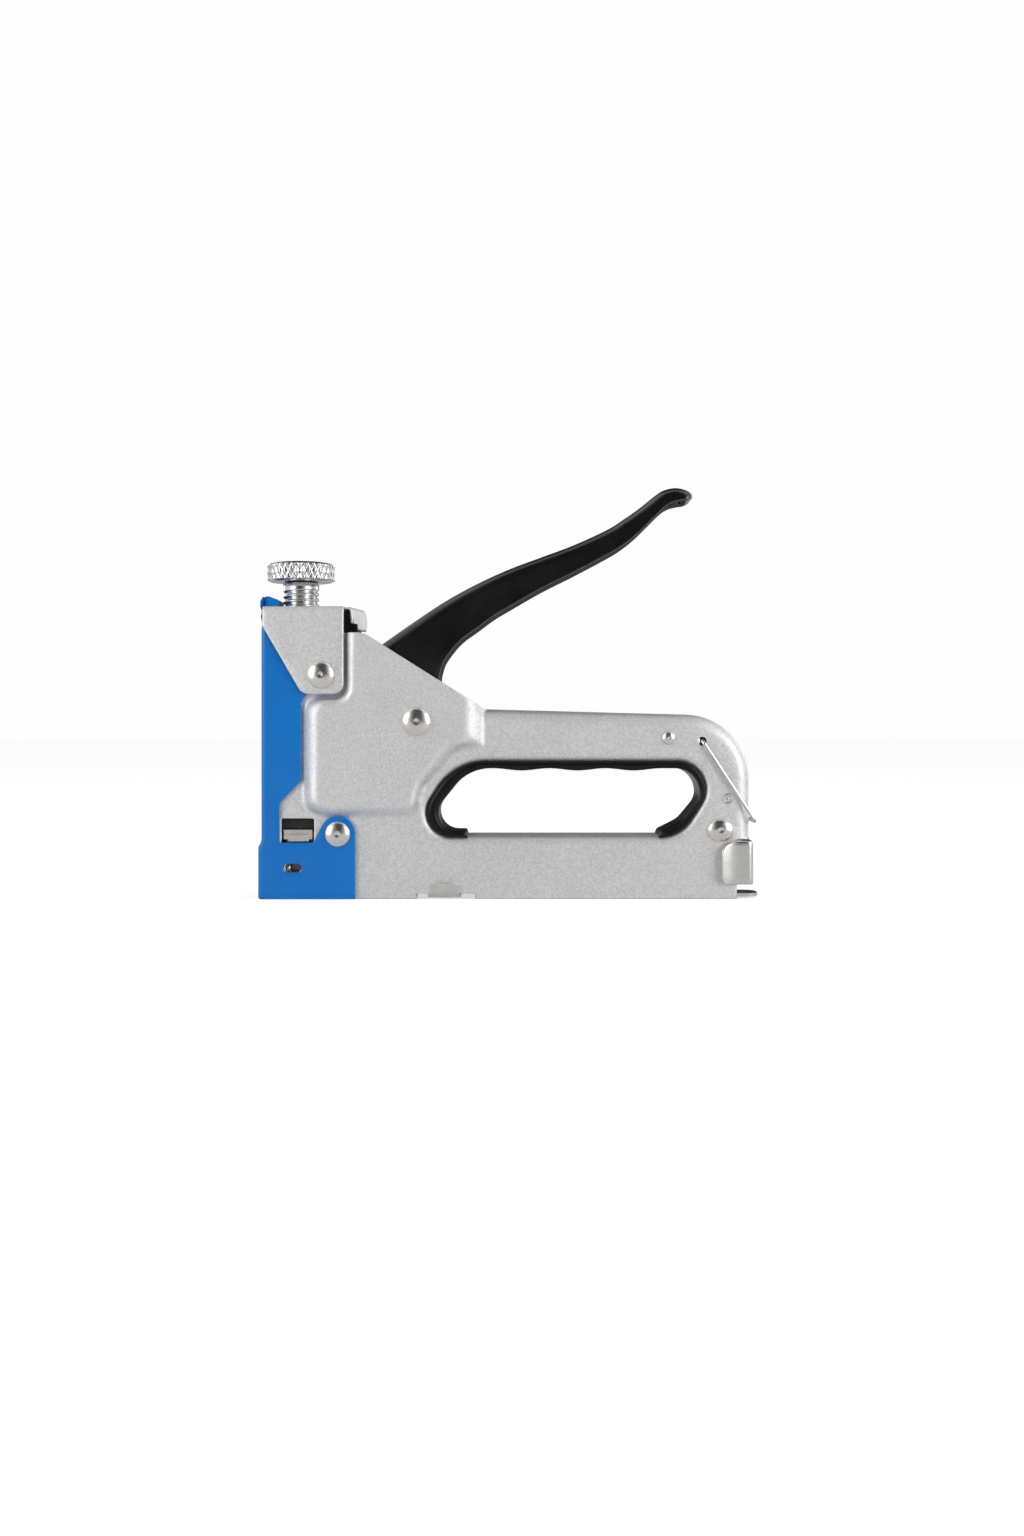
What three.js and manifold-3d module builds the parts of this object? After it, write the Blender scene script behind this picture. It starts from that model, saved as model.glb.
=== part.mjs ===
// Hand staple gun: pressed steel shells, a lever that lifts a spring-loaded hammer, and a staple magazine.
// Millimetres. +X points to the rear, +Y to the right-hand side, +Z up; the nose is at -X.
// The origin is at the middle of the footprint, on the surface that the base stands on.
import * as THREE from 'three';
import { mergeVertices } from 'three/addons/utils/BufferGeometryUtils.js';
import Module from 'manifold-3d';

const wasm = await Module();
wasm.setup();

// ---- driving dimensions ----
const gap = 0.3; // clearance between pieces that touch
const sheet = 1.2; // shell sheet thickness
const panelHalf = 8.5; // half width over the flat panels
const bulgeHalf = 12; // half width over the raised housing
const panelIn = panelHalf - sheet;
const bulgeIn = bulgeHalf - sheet;
const seam = gap / 2; // each shell stops this far from the middle plane

const frontX = -75.2; // front edge of the shells
const rearX = 74.3; // rear edge of the shells
const tailX = 70.1; // rear edge below the latch
const stepZ = 18.2; // height of that lower part

const coverHalf = 9.7;
const coverIn = panelHalf + gap;
const coverFrontX = -76.5;
const noseX = -77.5;
const bracketHalf = 11;
const bracketIn = coverHalf + gap;
const bracketTop = 90.1;

const springX = -65.4; // axis of the mainspring and its adjusting screw
const rodZ = 15.2; // axis of the magazine's guide rod
const railTop = 12.9;

const pivot = { x: -28.5, z: 54.6 };
const frontRivet = { x: -52.9, z: 20 };
const bracketRivet = { x: -57.9, z: 69 };
const rearRivet = { x: 65.1, z: 21.2 };
const barRivet = { x: 49.1, z: 49.6 };
const rearPin = { x: 67.3, z: 30.9 };
const bailHole = { x: 59.5, z: 48.6 };
const bailBar = { x: 75.6, z: 24.0 };

const pivotShank = 2.5;
const rivetShank = 2;
const barShank = 1.2;
const pinShank = 0.9;
const bailWire = 0.6;

// ---- shape helpers ----
const arcStep = THREE.MathUtils.degToRad(15);

// A closed outline from corners [x, z, radius]; a corner with a radius becomes an arc.
// Outlines that are lofted together give every arc the same number of steps.
function rounded(corners, fixedSteps) {
  const points = [];
  corners.forEach(([x, z, radius = 0], i) => {
    const here = new THREE.Vector2(x, z);
    if (radius === 0) {
      points.push(here);
      return;
    }
    const [bx, bz] = corners.at(i - 1);
    const [ax, az] = corners[(i + 1) % corners.length];
    const back = new THREE.Vector2(bx, bz).sub(here).normalize();
    const ahead = new THREE.Vector2(ax, az).sub(here).normalize();
    const half = Math.acos(THREE.MathUtils.clamp(back.dot(ahead), -1, 1)) / 2;
    const middle = back.clone().add(ahead).normalize();
    const centre = middle.multiplyScalar(radius / Math.sin(half)).add(here);
    const first = back.clone().multiplyScalar(radius / Math.tan(half)).add(here).sub(centre);
    const turn = Math.sign(ahead.cross(back)) * (Math.PI - 2 * half);
    const steps = fixedSteps ?? Math.max(2, Math.ceil(Math.abs(turn) / arcStep));
    for (let k = 0; k <= steps; k += 1) {
      points.push(first.clone().rotateAround(new THREE.Vector2(), (turn * k) / steps).add(centre));
    }
  });
  return points;
}

function circle(x, z, radius, sides = 16) {
  return Array.from({ length: sides }, (_, k) => {
    const angle = (2 * Math.PI * k) / sides;
    return new THREE.Vector2(x + radius * Math.cos(angle), z + radius * Math.sin(angle));
  });
}

// A closed body for joining and cutting, with shared corners merged and its faces pointing out.
function solid(geometry) {
  const bare = geometry.clone();
  bare.deleteAttribute('normal');
  bare.deleteAttribute('uv');
  const merged = mergeVertices(bare, 1e-4);
  const position = merged.attributes.position;
  const corner = (i) => new THREE.Vector3().fromBufferAttribute(position, i);
  const faces = [];
  let volume = 0;
  for (let i = 0; i < merged.index.count; i += 3) {
    const [a, b, c] = [0, 1, 2].map((k) => merged.index.getX(i + k));
    if (a !== b && b !== c && c !== a) {
      faces.push([a, b, c]);
      volume += corner(a).dot(corner(b).cross(corner(c)));
    }
  }
  const triVerts = new Uint32Array(faces.flatMap(([a, b, c]) => (volume < 0 ? [a, c, b] : [a, b, c])));
  const vertProperties = new Float32Array(position.array);
  return new wasm.Manifold(new wasm.Mesh({ numProp: 3, vertProperties, triVerts }));
}

// A plate with its outline in X and Z, between two Y values.
function plate(outline, yLow, yHigh, holes = []) {
  const shape = new THREE.Shape(outline);
  shape.holes = holes.map((hole) => new THREE.Path(hole));
  const geometry = new THREE.ExtrudeGeometry(shape, { depth: yHigh - yLow, bevelEnabled: false });
  geometry.rotateX(Math.PI / 2);
  geometry.translate(0, yHigh, 0);
  return solid(geometry);
}

// A plate with its outline in X and Y, between two Z values.
function slab(outline, zLow, zHigh) {
  const shape = new THREE.Shape(outline);
  const geometry = new THREE.ExtrudeGeometry(shape, { depth: zHigh - zLow, bevelEnabled: false });
  geometry.translate(0, 0, zLow);
  return solid(geometry);
}

function block(xLow, xHigh, yLow, yHigh, zLow, zHigh) {
  const geometry = new THREE.BoxGeometry(xHigh - xLow, yHigh - yLow, zHigh - zLow);
  geometry.translate((xLow + xHigh) / 2, (yLow + yHigh) / 2, (zLow + zHigh) / 2);
  return solid(geometry);
}

// A block that is symmetric across the middle plane.
function midBlock(xLow, xHigh, half, zLow, zHigh) {
  return block(xLow, xHigh, -half, half, zLow, zHigh);
}

// A body between rings of the same number of points, given as [x, y, z] lists.
function loft(rings) {
  const count = rings[0].length;
  const position = rings.flat(2);
  const index = [];
  for (let k = 0; k + 1 < rings.length; k += 1) {
    for (let i = 0; i < count; i += 1) {
      const [a, b] = [k * count + i, k * count + ((i + 1) % count)];
      index.push(a, b, b + count, a, b + count, a + count);
    }
  }
  const contour = rings[0].map(([x, , z]) => new THREE.Vector2(x, z));
  const last = (rings.length - 1) * count;
  for (const [a, b, c] of THREE.ShapeUtils.triangulateShape(contour, [])) {
    index.push(c, b, a, a + last, b + last, c + last);
  }
  const geometry = new THREE.BufferGeometry();
  geometry.setAttribute('position', new THREE.Float32BufferAttribute(position, 3));
  geometry.setIndex(index);
  return solid(geometry);
}

// A turned body. The profile is [radius, height] along the axis, from one end to the other.
function turned(profile, axis, centre, sides = 16) {
  const geometry = new THREE.LatheGeometry(profile.map(([r, h]) => new THREE.Vector2(r, h)), sides);
  if (axis === 'z') geometry.rotateX(Math.PI / 2);
  if (axis === 'x') geometry.rotateZ(-Math.PI / 2);
  geometry.translate(...centre);
  return solid(geometry);
}

// A sleeve along an axis, closed on itself.
function sleeve(inner, outer, low, high, axis, centre, sides = 16) {
  const profile = [[inner, low], [outer, low], [outer, high], [inner, high], [inner, low]];
  return turned(profile, axis, centre, sides);
}

function pin(radius, low, high, axis, centre, sides = 16) {
  return turned([[0, low], [radius, low], [radius, high], [0, high]], axis, centre, sides);
}

class Helix extends THREE.Curve {
  constructor(radius, length, turns) {
    super();
    Object.assign(this, { radius, length, turns });
  }

  getPoint(t) {
    const angle = 2 * Math.PI * this.turns * t;
    return new THREE.Vector3(this.radius * Math.cos(angle), this.radius * Math.sin(angle), this.length * t);
  }
}

// A coil spring of round wire; its axis starts at centre and runs along +X, +Y or +Z.
function coil(radius, wire, length, turns, stepsPerTurn, axis, centre) {
  const section = new THREE.Shape(circle(0, 0, wire, 6));
  const geometry = new THREE.ExtrudeGeometry(section, {
    steps: Math.round(turns * stepsPerTurn),
    extrudePath: new Helix(radius, length, turns),
  });
  if (axis === 'x') geometry.rotateY(Math.PI / 2);
  if (axis === 'y') geometry.rotateX(-Math.PI / 2);
  geometry.translate(...centre);
  return solid(geometry);
}

// ---- the assembly ----
const gun = new THREE.Group();

const finishes = {
  satin: { color: 0xc4c5c7, roughness: 0.5, metalness: 0.9 },
  polished: { color: 0xd8d6d2, roughness: 0.15, metalness: 1 },
  zinc: { color: 0xc9cacb, roughness: 0.28, metalness: 1 },
  spring: { color: 0x8d8f92, roughness: 0.35, metalness: 1 },
  blue: { color: 0x1b73c6, roughness: 0.4, metalness: 0.2 },
  black: { color: 0x101011, roughness: 0.2, metalness: 0.2 },
  plastic: { color: 0x151516, roughness: 0.45, metalness: 0 },
  rubber: { color: 0x1c1c1d, roughness: 0.9, metalness: 0 },
};

function add(name, body, finish) {
  const { vertProperties, triVerts } = body.getMesh();
  const geometry = new THREE.BufferGeometry();
  geometry.setAttribute('position', new THREE.BufferAttribute(new Float32Array(vertProperties), 3));
  geometry.setIndex(new THREE.BufferAttribute(new Uint32Array(triVerts), 1));
  geometry.computeVertexNormals();
  const mesh = new THREE.Mesh(geometry, new THREE.MeshStandardMaterial(finishes[finish]));
  mesh.name = name;
  gun.add(mesh);
}

// ---- hand opening and grip ----
// The opening's outline, moved inward by an inset. Its corner radii shrink by the same amount.
function openingOutline(inset) {
  const slant = 57.6;
  const [left, right, top, bottom] = [-24.5, 60.6, 42.6, 18.7];
  const lean = 1 / Math.tan(THREE.MathUtils.degToRad(slant));
  const side = inset / Math.sin(THREE.MathUtils.degToRad(slant));
  const middleZ = 31;
  const leftAt = (z) => left + side + (z - middleZ) * lean;
  const rightAt = (z) => right - side + (z - middleZ) * lean;
  const [highZ, lowZ] = [top - inset, bottom + inset];
  return rounded([
    [leftAt(lowZ), lowZ, 8 - inset],
    [rightAt(lowZ), lowZ, 12 - inset],
    [rightAt(highZ), highZ, 8.8 - inset],
    [leftAt(highZ), highZ, 18 - inset],
  ]);
}

const openingInset = 0.8; // the shell edge sits this far inside the grip's lip

// The grip's inner edge, with shallow finger waves along its top.
function gripInnerOutline() {
  const [waveStart, waveEnd, waves, waveHeight, topZ, bottomZ] = [-5, 47, 3, 0.35, 40.2, 20.8];
  const steps = 24;
  const wave = Array.from({ length: steps + 1 }, (_, k) => {
    const phase = (2 * Math.PI * waves * k) / steps;
    return [waveEnd + ((waveStart - waveEnd) * k) / steps, topZ - waveHeight * (1 - Math.cos(phase))];
  });
  return rounded([
    [-28.1, bottomZ, 5.8],
    [46.8, bottomZ, 0.7],
    [53.2, 24, 7],
    [59, 31, 6],
    [57.8, topZ, 7.5],
    ...wave,
    [-12.5, topZ, 14],
  ]);
}

const gripHalf = 9.6;
const gripMouth = { left: -12.8, right: 45.4, top: 24 }; // the grip is open along the bottom

function gripInsert() {
  const full = plate(openingOutline(0), -gripHalf, gripHalf, [gripInnerOutline()]);
  const shellSpace = plate(openingOutline(-2), -coverIn, coverIn, [openingOutline(openingInset + gap)]);
  const mouth = midBlock(gripMouth.left, gripMouth.right, bulgeHalf, 15, gripMouth.top);
  return full.subtract(shellSpace).subtract(mouth);
}

// ---- shells ----
const notch = { left: -28.6, right: -10.6, top: 1.6 };

const shellOutline = rounded([
  [frontX, 0],
  [notch.left, 0],
  [notch.left, notch.top],
  [notch.right, notch.top],
  [notch.right, 0],
  [tailX, 0],
  [tailX, stepZ],
  [rearX, stepZ],
  [rearX, 56.3, 20],
  [-7.6, 58.5],
  [-43.6, 81.2, 3],
  [-46, 82],
  [-51.2, 82],
  [-51.2, 88.5],
  [frontX, 88.5],
]);

// The hollow between the shells: inside the bar's top and rear flanges, open at the other edges.
const hollowOutline = rounded([
  [frontX - 2, -2],
  [rearX - sheet, -2],
  [rearX - sheet, 56.3 - sheet, 20 - sheet],
  [-6.4, 58.5 - sheet],
  [-7.6, 62],
  [-42, 84],
  [-49, 84],
  [-49, 91],
  [frontX - 2, 91],
]);

// The raised housing: its foot on the flat panel and the edge of its raised face.
const bulgeArcSteps = 4;
const bulgeFoot = rounded([
  [-63.2, 25.9, 5],
  [-28.2, 25.9, 3],
  [-26.8, 34, 9],
  [-15.4, 46.2, 4],
  [-8, 46.2, 1.5],
  [-8, 64],
  [-46, 90],
  [-50.6, 90],
  [-50.6, 62.3, 3.6],
  [-63.2, 62.3, 4.5],
], bulgeArcSteps);
const bulgeFace = rounded([
  [-58.6, 28.2, 3],
  [-31, 28.2, 3],
  [-29.4, 36, 9],
  [-20, 48.6, 6],
  [-14.6, 48.6, 1],
  [-14.6, 66],
  [-46, 90],
  [-49, 90],
  [-49, 60.8, 4.6],
  [-58.6, 60.8, 2.4],
], bulgeArcSteps);

const windowHole = rounded([[-70.3, 15.8, 0.6], [-60.3, 15.8, 0.6], [-60.3, 24.7, 0.6], [-70.3, 24.7, 0.6]]);
const slotHole = rounded([[-69.6, 8.15, 1.3], [-64, 8.15, 1.3], [-64, 10.85, 1.3], [-69.6, 10.85, 1.3]]);

function shell(side) {
  const [edge, outer, inner] = [side * seam, side * panelHalf, side * panelIn];
  const between = (outline, a, b, holes) => plate(outline, Math.min(a, b), Math.max(a, b), holes);
  const ring = (outline, y) => outline.map(({ x, y: z }) => [x, y, z]);
  const opening = openingOutline(openingInset);
  const panel = between(shellOutline, edge, outer, [opening]);
  const bulge = loft([ring(bulgeFoot, outer - side), ring(bulgeFoot, outer), ring(bulgeFace, side * bulgeHalf)]);
  const blank = panel.add(bulge.intersect(between(shellOutline, edge, side * bulgeHalf)));
  const flat = between(hollowOutline, -side, inner, [openingOutline(openingInset - sheet)]);
  const raised = loft([ring(bulgeFoot, inner - side), ring(bulgeFoot, inner), ring(bulgeFace, side * bulgeIn)]);
  const holes = [
    circle(pivot.x, pivot.z, pivotShank + gap),
    circle(bracketRivet.x, bracketRivet.z, rivetShank + gap),
    circle(frontRivet.x, frontRivet.z, rivetShank + gap),
    circle(rearRivet.x, rearRivet.z, rivetShank + gap),
    circle(barRivet.x, barRivet.z, barShank + gap, 12),
    circle(rearPin.x, rearPin.z, pinShank + gap, 12),
    circle(bailHole.x, bailHole.z, bailWire + 0.5, 12),
    windowHole,
    slotHole,
  ];
  const drilled = holes.reduce((body, hole) => body.subtract(between(hole, 0, side * bulgeHalf * 2)), blank);
  return drilled.subtract(flat).subtract(raised);
}

// ---- front cover, bracket and their pieces ----
const coverFlap = rounded([
  [coverFrontX, 0],
  [-47.5, 0],
  [-47.5, 25.5, 5.4],
  [-56.3, 25.5, 5.4],
  [-60.4, 17.4, 1.5],
  [-70.8, 17.4, 0.6],
  [-70.8, 29.5, 3.5],
  [-64.1, 36.4, 3],
  [-64.1, 62.9, 4.2],
  [-59.5, 64],
  [-54.5, 64.5],
  [-54.5, 84],
  [coverFrontX, 84],
]);

function frontCover() {
  const skin = 0.9;
  const hookHalf = 8;
  const noseFront = rounded([[noseX, 0, 0.9], [-75, 0], [-75, 17.6], [coverFrontX, 17.6], [noseX, 16.6, 0.5]]);
  const hook = rounded([
    [coverFrontX, 83],
    [coverFrontX + skin, 83],
    [coverFrontX + skin, 91.6, 0.6],
    [-74.6, 92.4, 0.8],
    [-71.9, 91.4],
    [-71.6, 92.2],
    [-74.8, 93.6, 1],
    [-77.1, 92.8, 0.8],
    [-77.1, 88.9, 0.5],
    [coverFrontX, 88.6],
  ]);
  const hollow = midBlock(coverFrontX + skin, -40, coverIn, -1, 85);
  const noseHollow = midBlock(noseX + skin, -40, coverIn, -1, 16.4);
  const outer = plate(coverFlap, -coverHalf, coverHalf).add(plate(noseFront, -coverHalf, coverHalf));
  const cuts = [
    plate(slotHole, -bulgeHalf, bulgeHalf),
    plate(circle(bracketRivet.x, bracketRivet.z, rivetShank + gap), -bulgeHalf, bulgeHalf),
    plate(circle(frontRivet.x, frontRivet.z, rivetShank + gap), -bulgeHalf, bulgeHalf),
  ];
  const body = outer.subtract(hollow).subtract(noseHollow).add(plate(hook, -hookHalf, hookHalf));
  return cuts.reduce((made, cut) => made.subtract(cut), body);
}

const threadRadius = 5.6;

function topBracket() {
  const cheek = rounded([
    [-75.9, 90.1, 0.5],
    [-75.9, 84, 1.5],
    [-63.8, 63.1, 3.5],
    [-50.9, 63.1, 3.5],
    [-50.9, 90.1],
  ]);
  const skin = 1;
  const tabHalf = 8;
  const near = [[-51.5, 90.1], [-51.5, 89.2], [-49.2, 89.1], [-48.2, 88.2], [-47.8, 85.3], [-46.9, 85.3],
    [-47.3, 88.6], [-48.7, 90]];
  const far = [[-51.5, 90.1], [-51.5, 89.2], [-47.6, 88.9], [-46.4, 87.4], [-46, 83.5], [-45.1, 83.5],
    [-45.5, 87.8], [-47.1, 89.8]];
  const tab = loft([near.map(([x, z]) => [x, -tabHalf, z]), far.map(([x, z]) => [x, tabHalf, z])]);
  return plate(cheek, -bracketHalf, bracketHalf)
    .subtract(midBlock(-80, -40, bracketIn, 60, bracketTop - skin))
    .subtract(midBlock(-80, coverFrontX + 1.2, bracketIn, 60, 95))
    .subtract(plate(circle(bracketRivet.x, bracketRivet.z, rivetShank + gap), -20, 20))
    .subtract(pin(threadRadius + gap, 85, 95, 'z', [springX, 0, 0], 24))
    .add(tab);
}

// The black guide behind the mainspring, stepped under the bracket's rear tab.
function springGuide() {
  const outline = rounded([
    [-58.2, 72.5],
    [-47.2, 72.5, 0.5],
    [-47.2, 84.9, 0.3],
    [-49.1, 84.9],
    [-49.1, 88.8, 0.3],
    [-58.2, 88.8],
  ]);
  return plate(outline, -6.9, 6.9);
}

// ---- rivets and spacers ----
// A dome from its foot to its crown, as [radius, height] above the seat.
function dome(radius, height) {
  const steps = 4;
  return Array.from({ length: steps + 1 }, (_, k) => {
    const angle = (Math.PI / 2) * (k / steps);
    return [radius * Math.cos(angle), 0.3 + height * Math.sin(angle)];
  });
}

function throughRivet({ x, z }, shank, head, seat, height) {
  const upper = [[shank, seat], [head, seat], ...dome(head, height).map(([r, h]) => [r, seat + h])];
  upper.at(-1)[0] = 0;
  const lower = upper.map(([r, h]) => [r, -h]).reverse();
  return turned([...lower, ...upper], 'y', [x, 0, z]);
}

function shortRivet({ x, z }, side, shank, head, foot, seat, height) {
  const upper = [[0, foot], [shank, foot], [shank, seat], [head, seat]];
  upper.push(...dome(head, height).map(([r, h]) => [r, seat + h]));
  upper.at(-1)[0] = 0;
  return turned(upper.map(([r, h]) => [r, side * h]), 'y', [x, 0, z]);
}

// ---- handle and lifter ----
const handleHalf = 9.5;
const handleSkin = 1.5;

function handleOutline() {
  const upper = [
    [-36.5, 58], [-40, 78.1], [-30, 85.1], [-20, 91.7], [-10, 97.2], [0, 101.8], [10, 105.6], [20, 109.4],
    [30, 114], [35, 117.1], [40, 120.6], [45, 124.6], [47.9, 126.4], [51.9, 127.1], [55.2, 126.3], [56.8, 124.8],
  ];
  const lower = [
    [56, 123.5], [52.6, 122.9], [50, 122.1], [47.2, 120.1], [40, 113], [35, 109], [30, 106], [20, 100.7],
    [10, 95.7], [0, 90], [-5, 87], [-10, 83.3], [-14.2, 80.3], [-16.9, 77.6], [-19.6, 74], [-20.9, 71.6],
    [-21.6, 66.6], [-21.4, 56], [-24, 49.5], [-28.5, 47.2], [-33.2, 49.4],
  ];
  return [...upper, ...lower].reverse().map(([x, z]) => new THREE.Vector2(x, z));
}

// The same outline moved inward by the sheet along the top and run past the lower edge.
// The front web stops above the lifter, which passes out below it.
function handleHollow() {
  const upper = [
    [-45, 66], [-36.4, 66], [-38.2, 77.4], [-29.2, 83.7], [-19.3, 90.3], [-9.4, 95.7], [0.5, 100.3], [10.6, 104.1],
    [20.6, 108], [30.7, 112.6], [35.8, 115.8], [40.9, 119.4], [45.8, 123.3], [48.3, 124.9], [51.9, 125.6],
    [54.5, 125], [55.2, 124.2],
  ];
  const lower = [[58, 118], [20, 92], [0, 80], [-12, 64], [-18, 50], [-28.5, 44], [-45, 44]];
  return [...upper, ...lower].reverse().map(([x, z]) => new THREE.Vector2(x, z));
}

// Seen from above the handle narrows towards its tip.
function handlePlan(inset) {
  const tipHalf = 8.1;
  const wide = handleHalf - inset;
  const narrow = tipHalf - inset;
  return rounded([
    [-45, -wide], [-10, -wide], [22, -narrow], [60, -narrow], [60, narrow], [22, narrow], [-10, wide], [-45, wide],
  ]);
}

function handle() {
  const outer = plate(handleOutline(), -handleHalf, handleHalf).intersect(slab(handlePlan(0), 40, 130));
  const inner = plate(handleHollow(), -handleHalf, handleHalf).intersect(slab(handlePlan(handleSkin), 40, 130));
  const bore = pin(pivotShank + gap, -20, 20, 'y', [pivot.x, 0, pivot.z]);
  return outer.subtract(inner).subtract(bore);
}

const liftAngle = THREE.MathUtils.degToRad(-18); // the lifter's slope at rest, nose-down
const lifterReach = 31;
const lifterTip = {
  x: pivot.x - lifterReach * Math.cos(liftAngle),
  z: pivot.z + lifterReach * Math.sin(liftAngle),
};

function lifter() {
  const [hubRadius, tipRadius, half] = [6.2, 3, 3];
  const across = new THREE.Vector2(Math.sin(liftAngle), Math.cos(liftAngle));
  const arm = [
    [pivot.x, pivot.z, -hubRadius], [pivot.x, pivot.z, hubRadius],
    [lifterTip.x, lifterTip.z, tipRadius], [lifterTip.x, lifterTip.z, -tipRadius],
  ].map(([x, z, offset]) => new THREE.Vector2(x + across.x * offset, z + across.y * offset));
  return plate(arm, -half, half)
    .add(pin(hubRadius, -half, half, 'y', [pivot.x, 0, pivot.z], 20))
    .add(pin(tipRadius, -half, half, 'y', [lifterTip.x, 0, lifterTip.z], 20))
    .subtract(pin(pivotShank + gap, -20, 20, 'y', [pivot.x, 0, pivot.z]));
}

// ---- hammer and drive train ----
const hammerBottom = 27.5;
const hammerTop = 52;

// The slot takes the lifter's tip. The well leaves room for the mainspring when its seat is screwed down.
function hammer() {
  const [wellRadius, wellDepth] = [5.4, 5];
  const slot = block(-63.6, -50, -3.6, 3.6, lifterTip.z - 3.8, lifterTip.z + 3.8);
  const well = pin(wellRadius, hammerTop - wellDepth, hammerTop + 1, 'z', [springX, 0, 0], 24);
  return midBlock(-73.7, -57, 6.8, hammerBottom, hammerTop).subtract(slot).subtract(well);
}

function noseGuide() {
  const body = midBlock(-69.9, -60.9, 7, 18.1, 21.3);
  const tongue = midBlock(-68.5, -62, 7, 17.5, 18.5);
  return body.add(tongue);
}

// ---- magazine ----
function magazineRail() {
  const [outerHalf, innerHalf, tongueHalf] = [4.7, 3.6, 5.5];
  const tongue = slab(rounded([[58, -tongueHalf], [77.5, -tongueHalf, 4], [77.5, tongueHalf, 4], [58, tongueHalf]]),
    0.4, 1.4);
  return midBlock(-73.5, 70.5, outerHalf, 0.4, railTop)
    .subtract(midBlock(-80, 80, innerHalf, 0, railTop - 1.1))
    .subtract(midBlock(notch.left, notch.right, 6, 0, notch.top + gap))
    .add(tongue);
}

function railClip() {
  const [left, right, half, skin] = [-25.2, -15.1, 9.9, 1.1];
  const front = rounded([[left, 0.3, 0.4], [right, 0.3, 0.4], [right, 4.6, 0.5], [left, 5.3, 0.5]]);
  return plate(front, -half, half).subtract(midBlock(left - 1, right + 1, half - skin, notch.top - gap, 10));
}

function staplePusher() {
  const body = plate(rounded([[-73.3, 3], [-61, 3], [-61, 16.9, 2], [-73.3, 16.9]]), -5.5, 5.5);
  return body
    .subtract(midBlock(-80, -50, 5, 0, railTop + gap))
    .subtract(pin(1.2, -80, -50, 'x', [0, 0, rodZ], 12));
}

function rearLatch() {
  const [skin, half] = [1.1, 9.9];
  const side = rounded([[65.1, 4.5, 2], [75.2, 4.5, 1], [75.2, 17.9, 1], [65.1, 17.9, 4]]);
  return plate(side, -half, half).subtract(midBlock(60, 75.2 - skin, half - skin, 0, 20));
}

// ---- wire bail ----
// Straight runs of round wire joined by balls at the corners.
function wireRun(points, radius) {
  const runs = points.slice(1).map((end, i) => {
    const [from, to] = [new THREE.Vector3(...points[i]), new THREE.Vector3(...end)];
    const along = to.clone().sub(from);
    const geometry = new THREE.CylinderGeometry(radius, radius, along.length(), 8);
    geometry.applyQuaternion(new THREE.Quaternion().setFromUnitVectors(new THREE.Vector3(0, 1, 0),
      along.clone().normalize()));
    geometry.translate(...from.add(to).multiplyScalar(0.5));
    return solid(geometry);
  });
  const joints = points.slice(1, -1).map((point) => {
    const geometry = new THREE.SphereGeometry(radius * 1.02, 8, 6);
    geometry.translate(...point);
    return solid(geometry);
  });
  return [...runs, ...joints].reduce((made, next) => made.add(next));
}

function wireBail() {
  const legY = panelHalf + gap + bailWire;
  const hookY = panelIn - 0.8;
  return wireRun([
    [bailHole.x, -hookY, bailHole.z],
    [bailHole.x, -legY, bailHole.z],
    [bailBar.x, -legY, bailBar.z],
    [bailBar.x, legY, bailBar.z],
    [bailHole.x, legY, bailHole.z],
    [bailHole.x, hookY, bailHole.z],
  ], bailWire);
}

// ---- adjuster ----
function adjustingKnob() {
  const [grip, foot, crown] = [10.6, 98.3, 104.2];
  return turned([
    [4.4, 101.2], [4.4, foot], [grip - 0.8, foot], [grip, foot + 0.6], [grip, crown - 1.1],
    [grip - 0.9, crown - 0.3], [grip - 2.6, crown], [0, crown + 0.2], [0, 101.2], [4.4, 101.2],
  ], 'z', [springX, 0, 0], 32);
}

function adjustingScrew() {
  return turned([
    [0, 86.4], [threadRadius - 0.8, 86.4], [threadRadius, 87.2], [threadRadius, 95.6],
    [threadRadius - 0.7, 96.2], [threadRadius - 0.7, 98], [4.1, 98], [4.1, 100.9], [0, 100.9],
  ], 'z', [springX, 0, 0], 24);
}

// ---- put it together ----
add('left_shell', shell(-1), 'satin');
add('right_shell', shell(1), 'satin');
add('front_cover', frontCover(), 'blue');
add('top_bracket', topBracket(), 'satin');
add('grip_insert', gripInsert(), 'plastic');
add('spring_guide', springGuide(), 'plastic');

add('adjuster_nut', sleeve(threadRadius + gap, 6.7, 86.4, 88.8, 'z', [springX, 0, 0], 6 * 4), 'zinc');
add('adjusting_screw', adjustingScrew(), 'zinc');
add('adjusting_knob', adjustingKnob(), 'zinc');
add('spring_seat', pin(5.3, 84, 86.1, 'z', [springX, 0, 0], 20), 'zinc');
add('mainspring', coil(4, 0.9, 83.7 - hammerTop - 2.4, 6.5, 12, 'z', [springX, 0, hammerTop + 1.3]), 'spring');

add('hammer', hammer(), 'zinc');
add('driver_blade', midBlock(-75.2, -74, 5.2, 0.8, 48), 'polished');
add('rubber_bumper', midBlock(-73.5, -57.5, 6.9, 21.6, hammerBottom - gap), 'rubber');
add('nose_guide', noseGuide(), 'polished');
add('left_leg_guide', block(-73.5, -57.5, -7, -5.9, 0.4, 17), 'polished');
add('right_leg_guide', block(-73.5, -57.5, 5.9, 7, 0.4, 17), 'polished');

add('magazine_rail', magazineRail(), 'polished');
add('rail_clip', railClip(), 'polished');
add('staple_pusher', staplePusher(), 'polished');
add('guide_rod', pin(0.9, -73, 73.8, 'x', [0, 0, rodZ], 12), 'polished');
add('pusher_spring', coil(1.4, 0.25, 132.6, 14, 7, 'x', [-60.4, 0, rodZ]), 'spring');
add('rear_latch', rearLatch(), 'polished');

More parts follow.
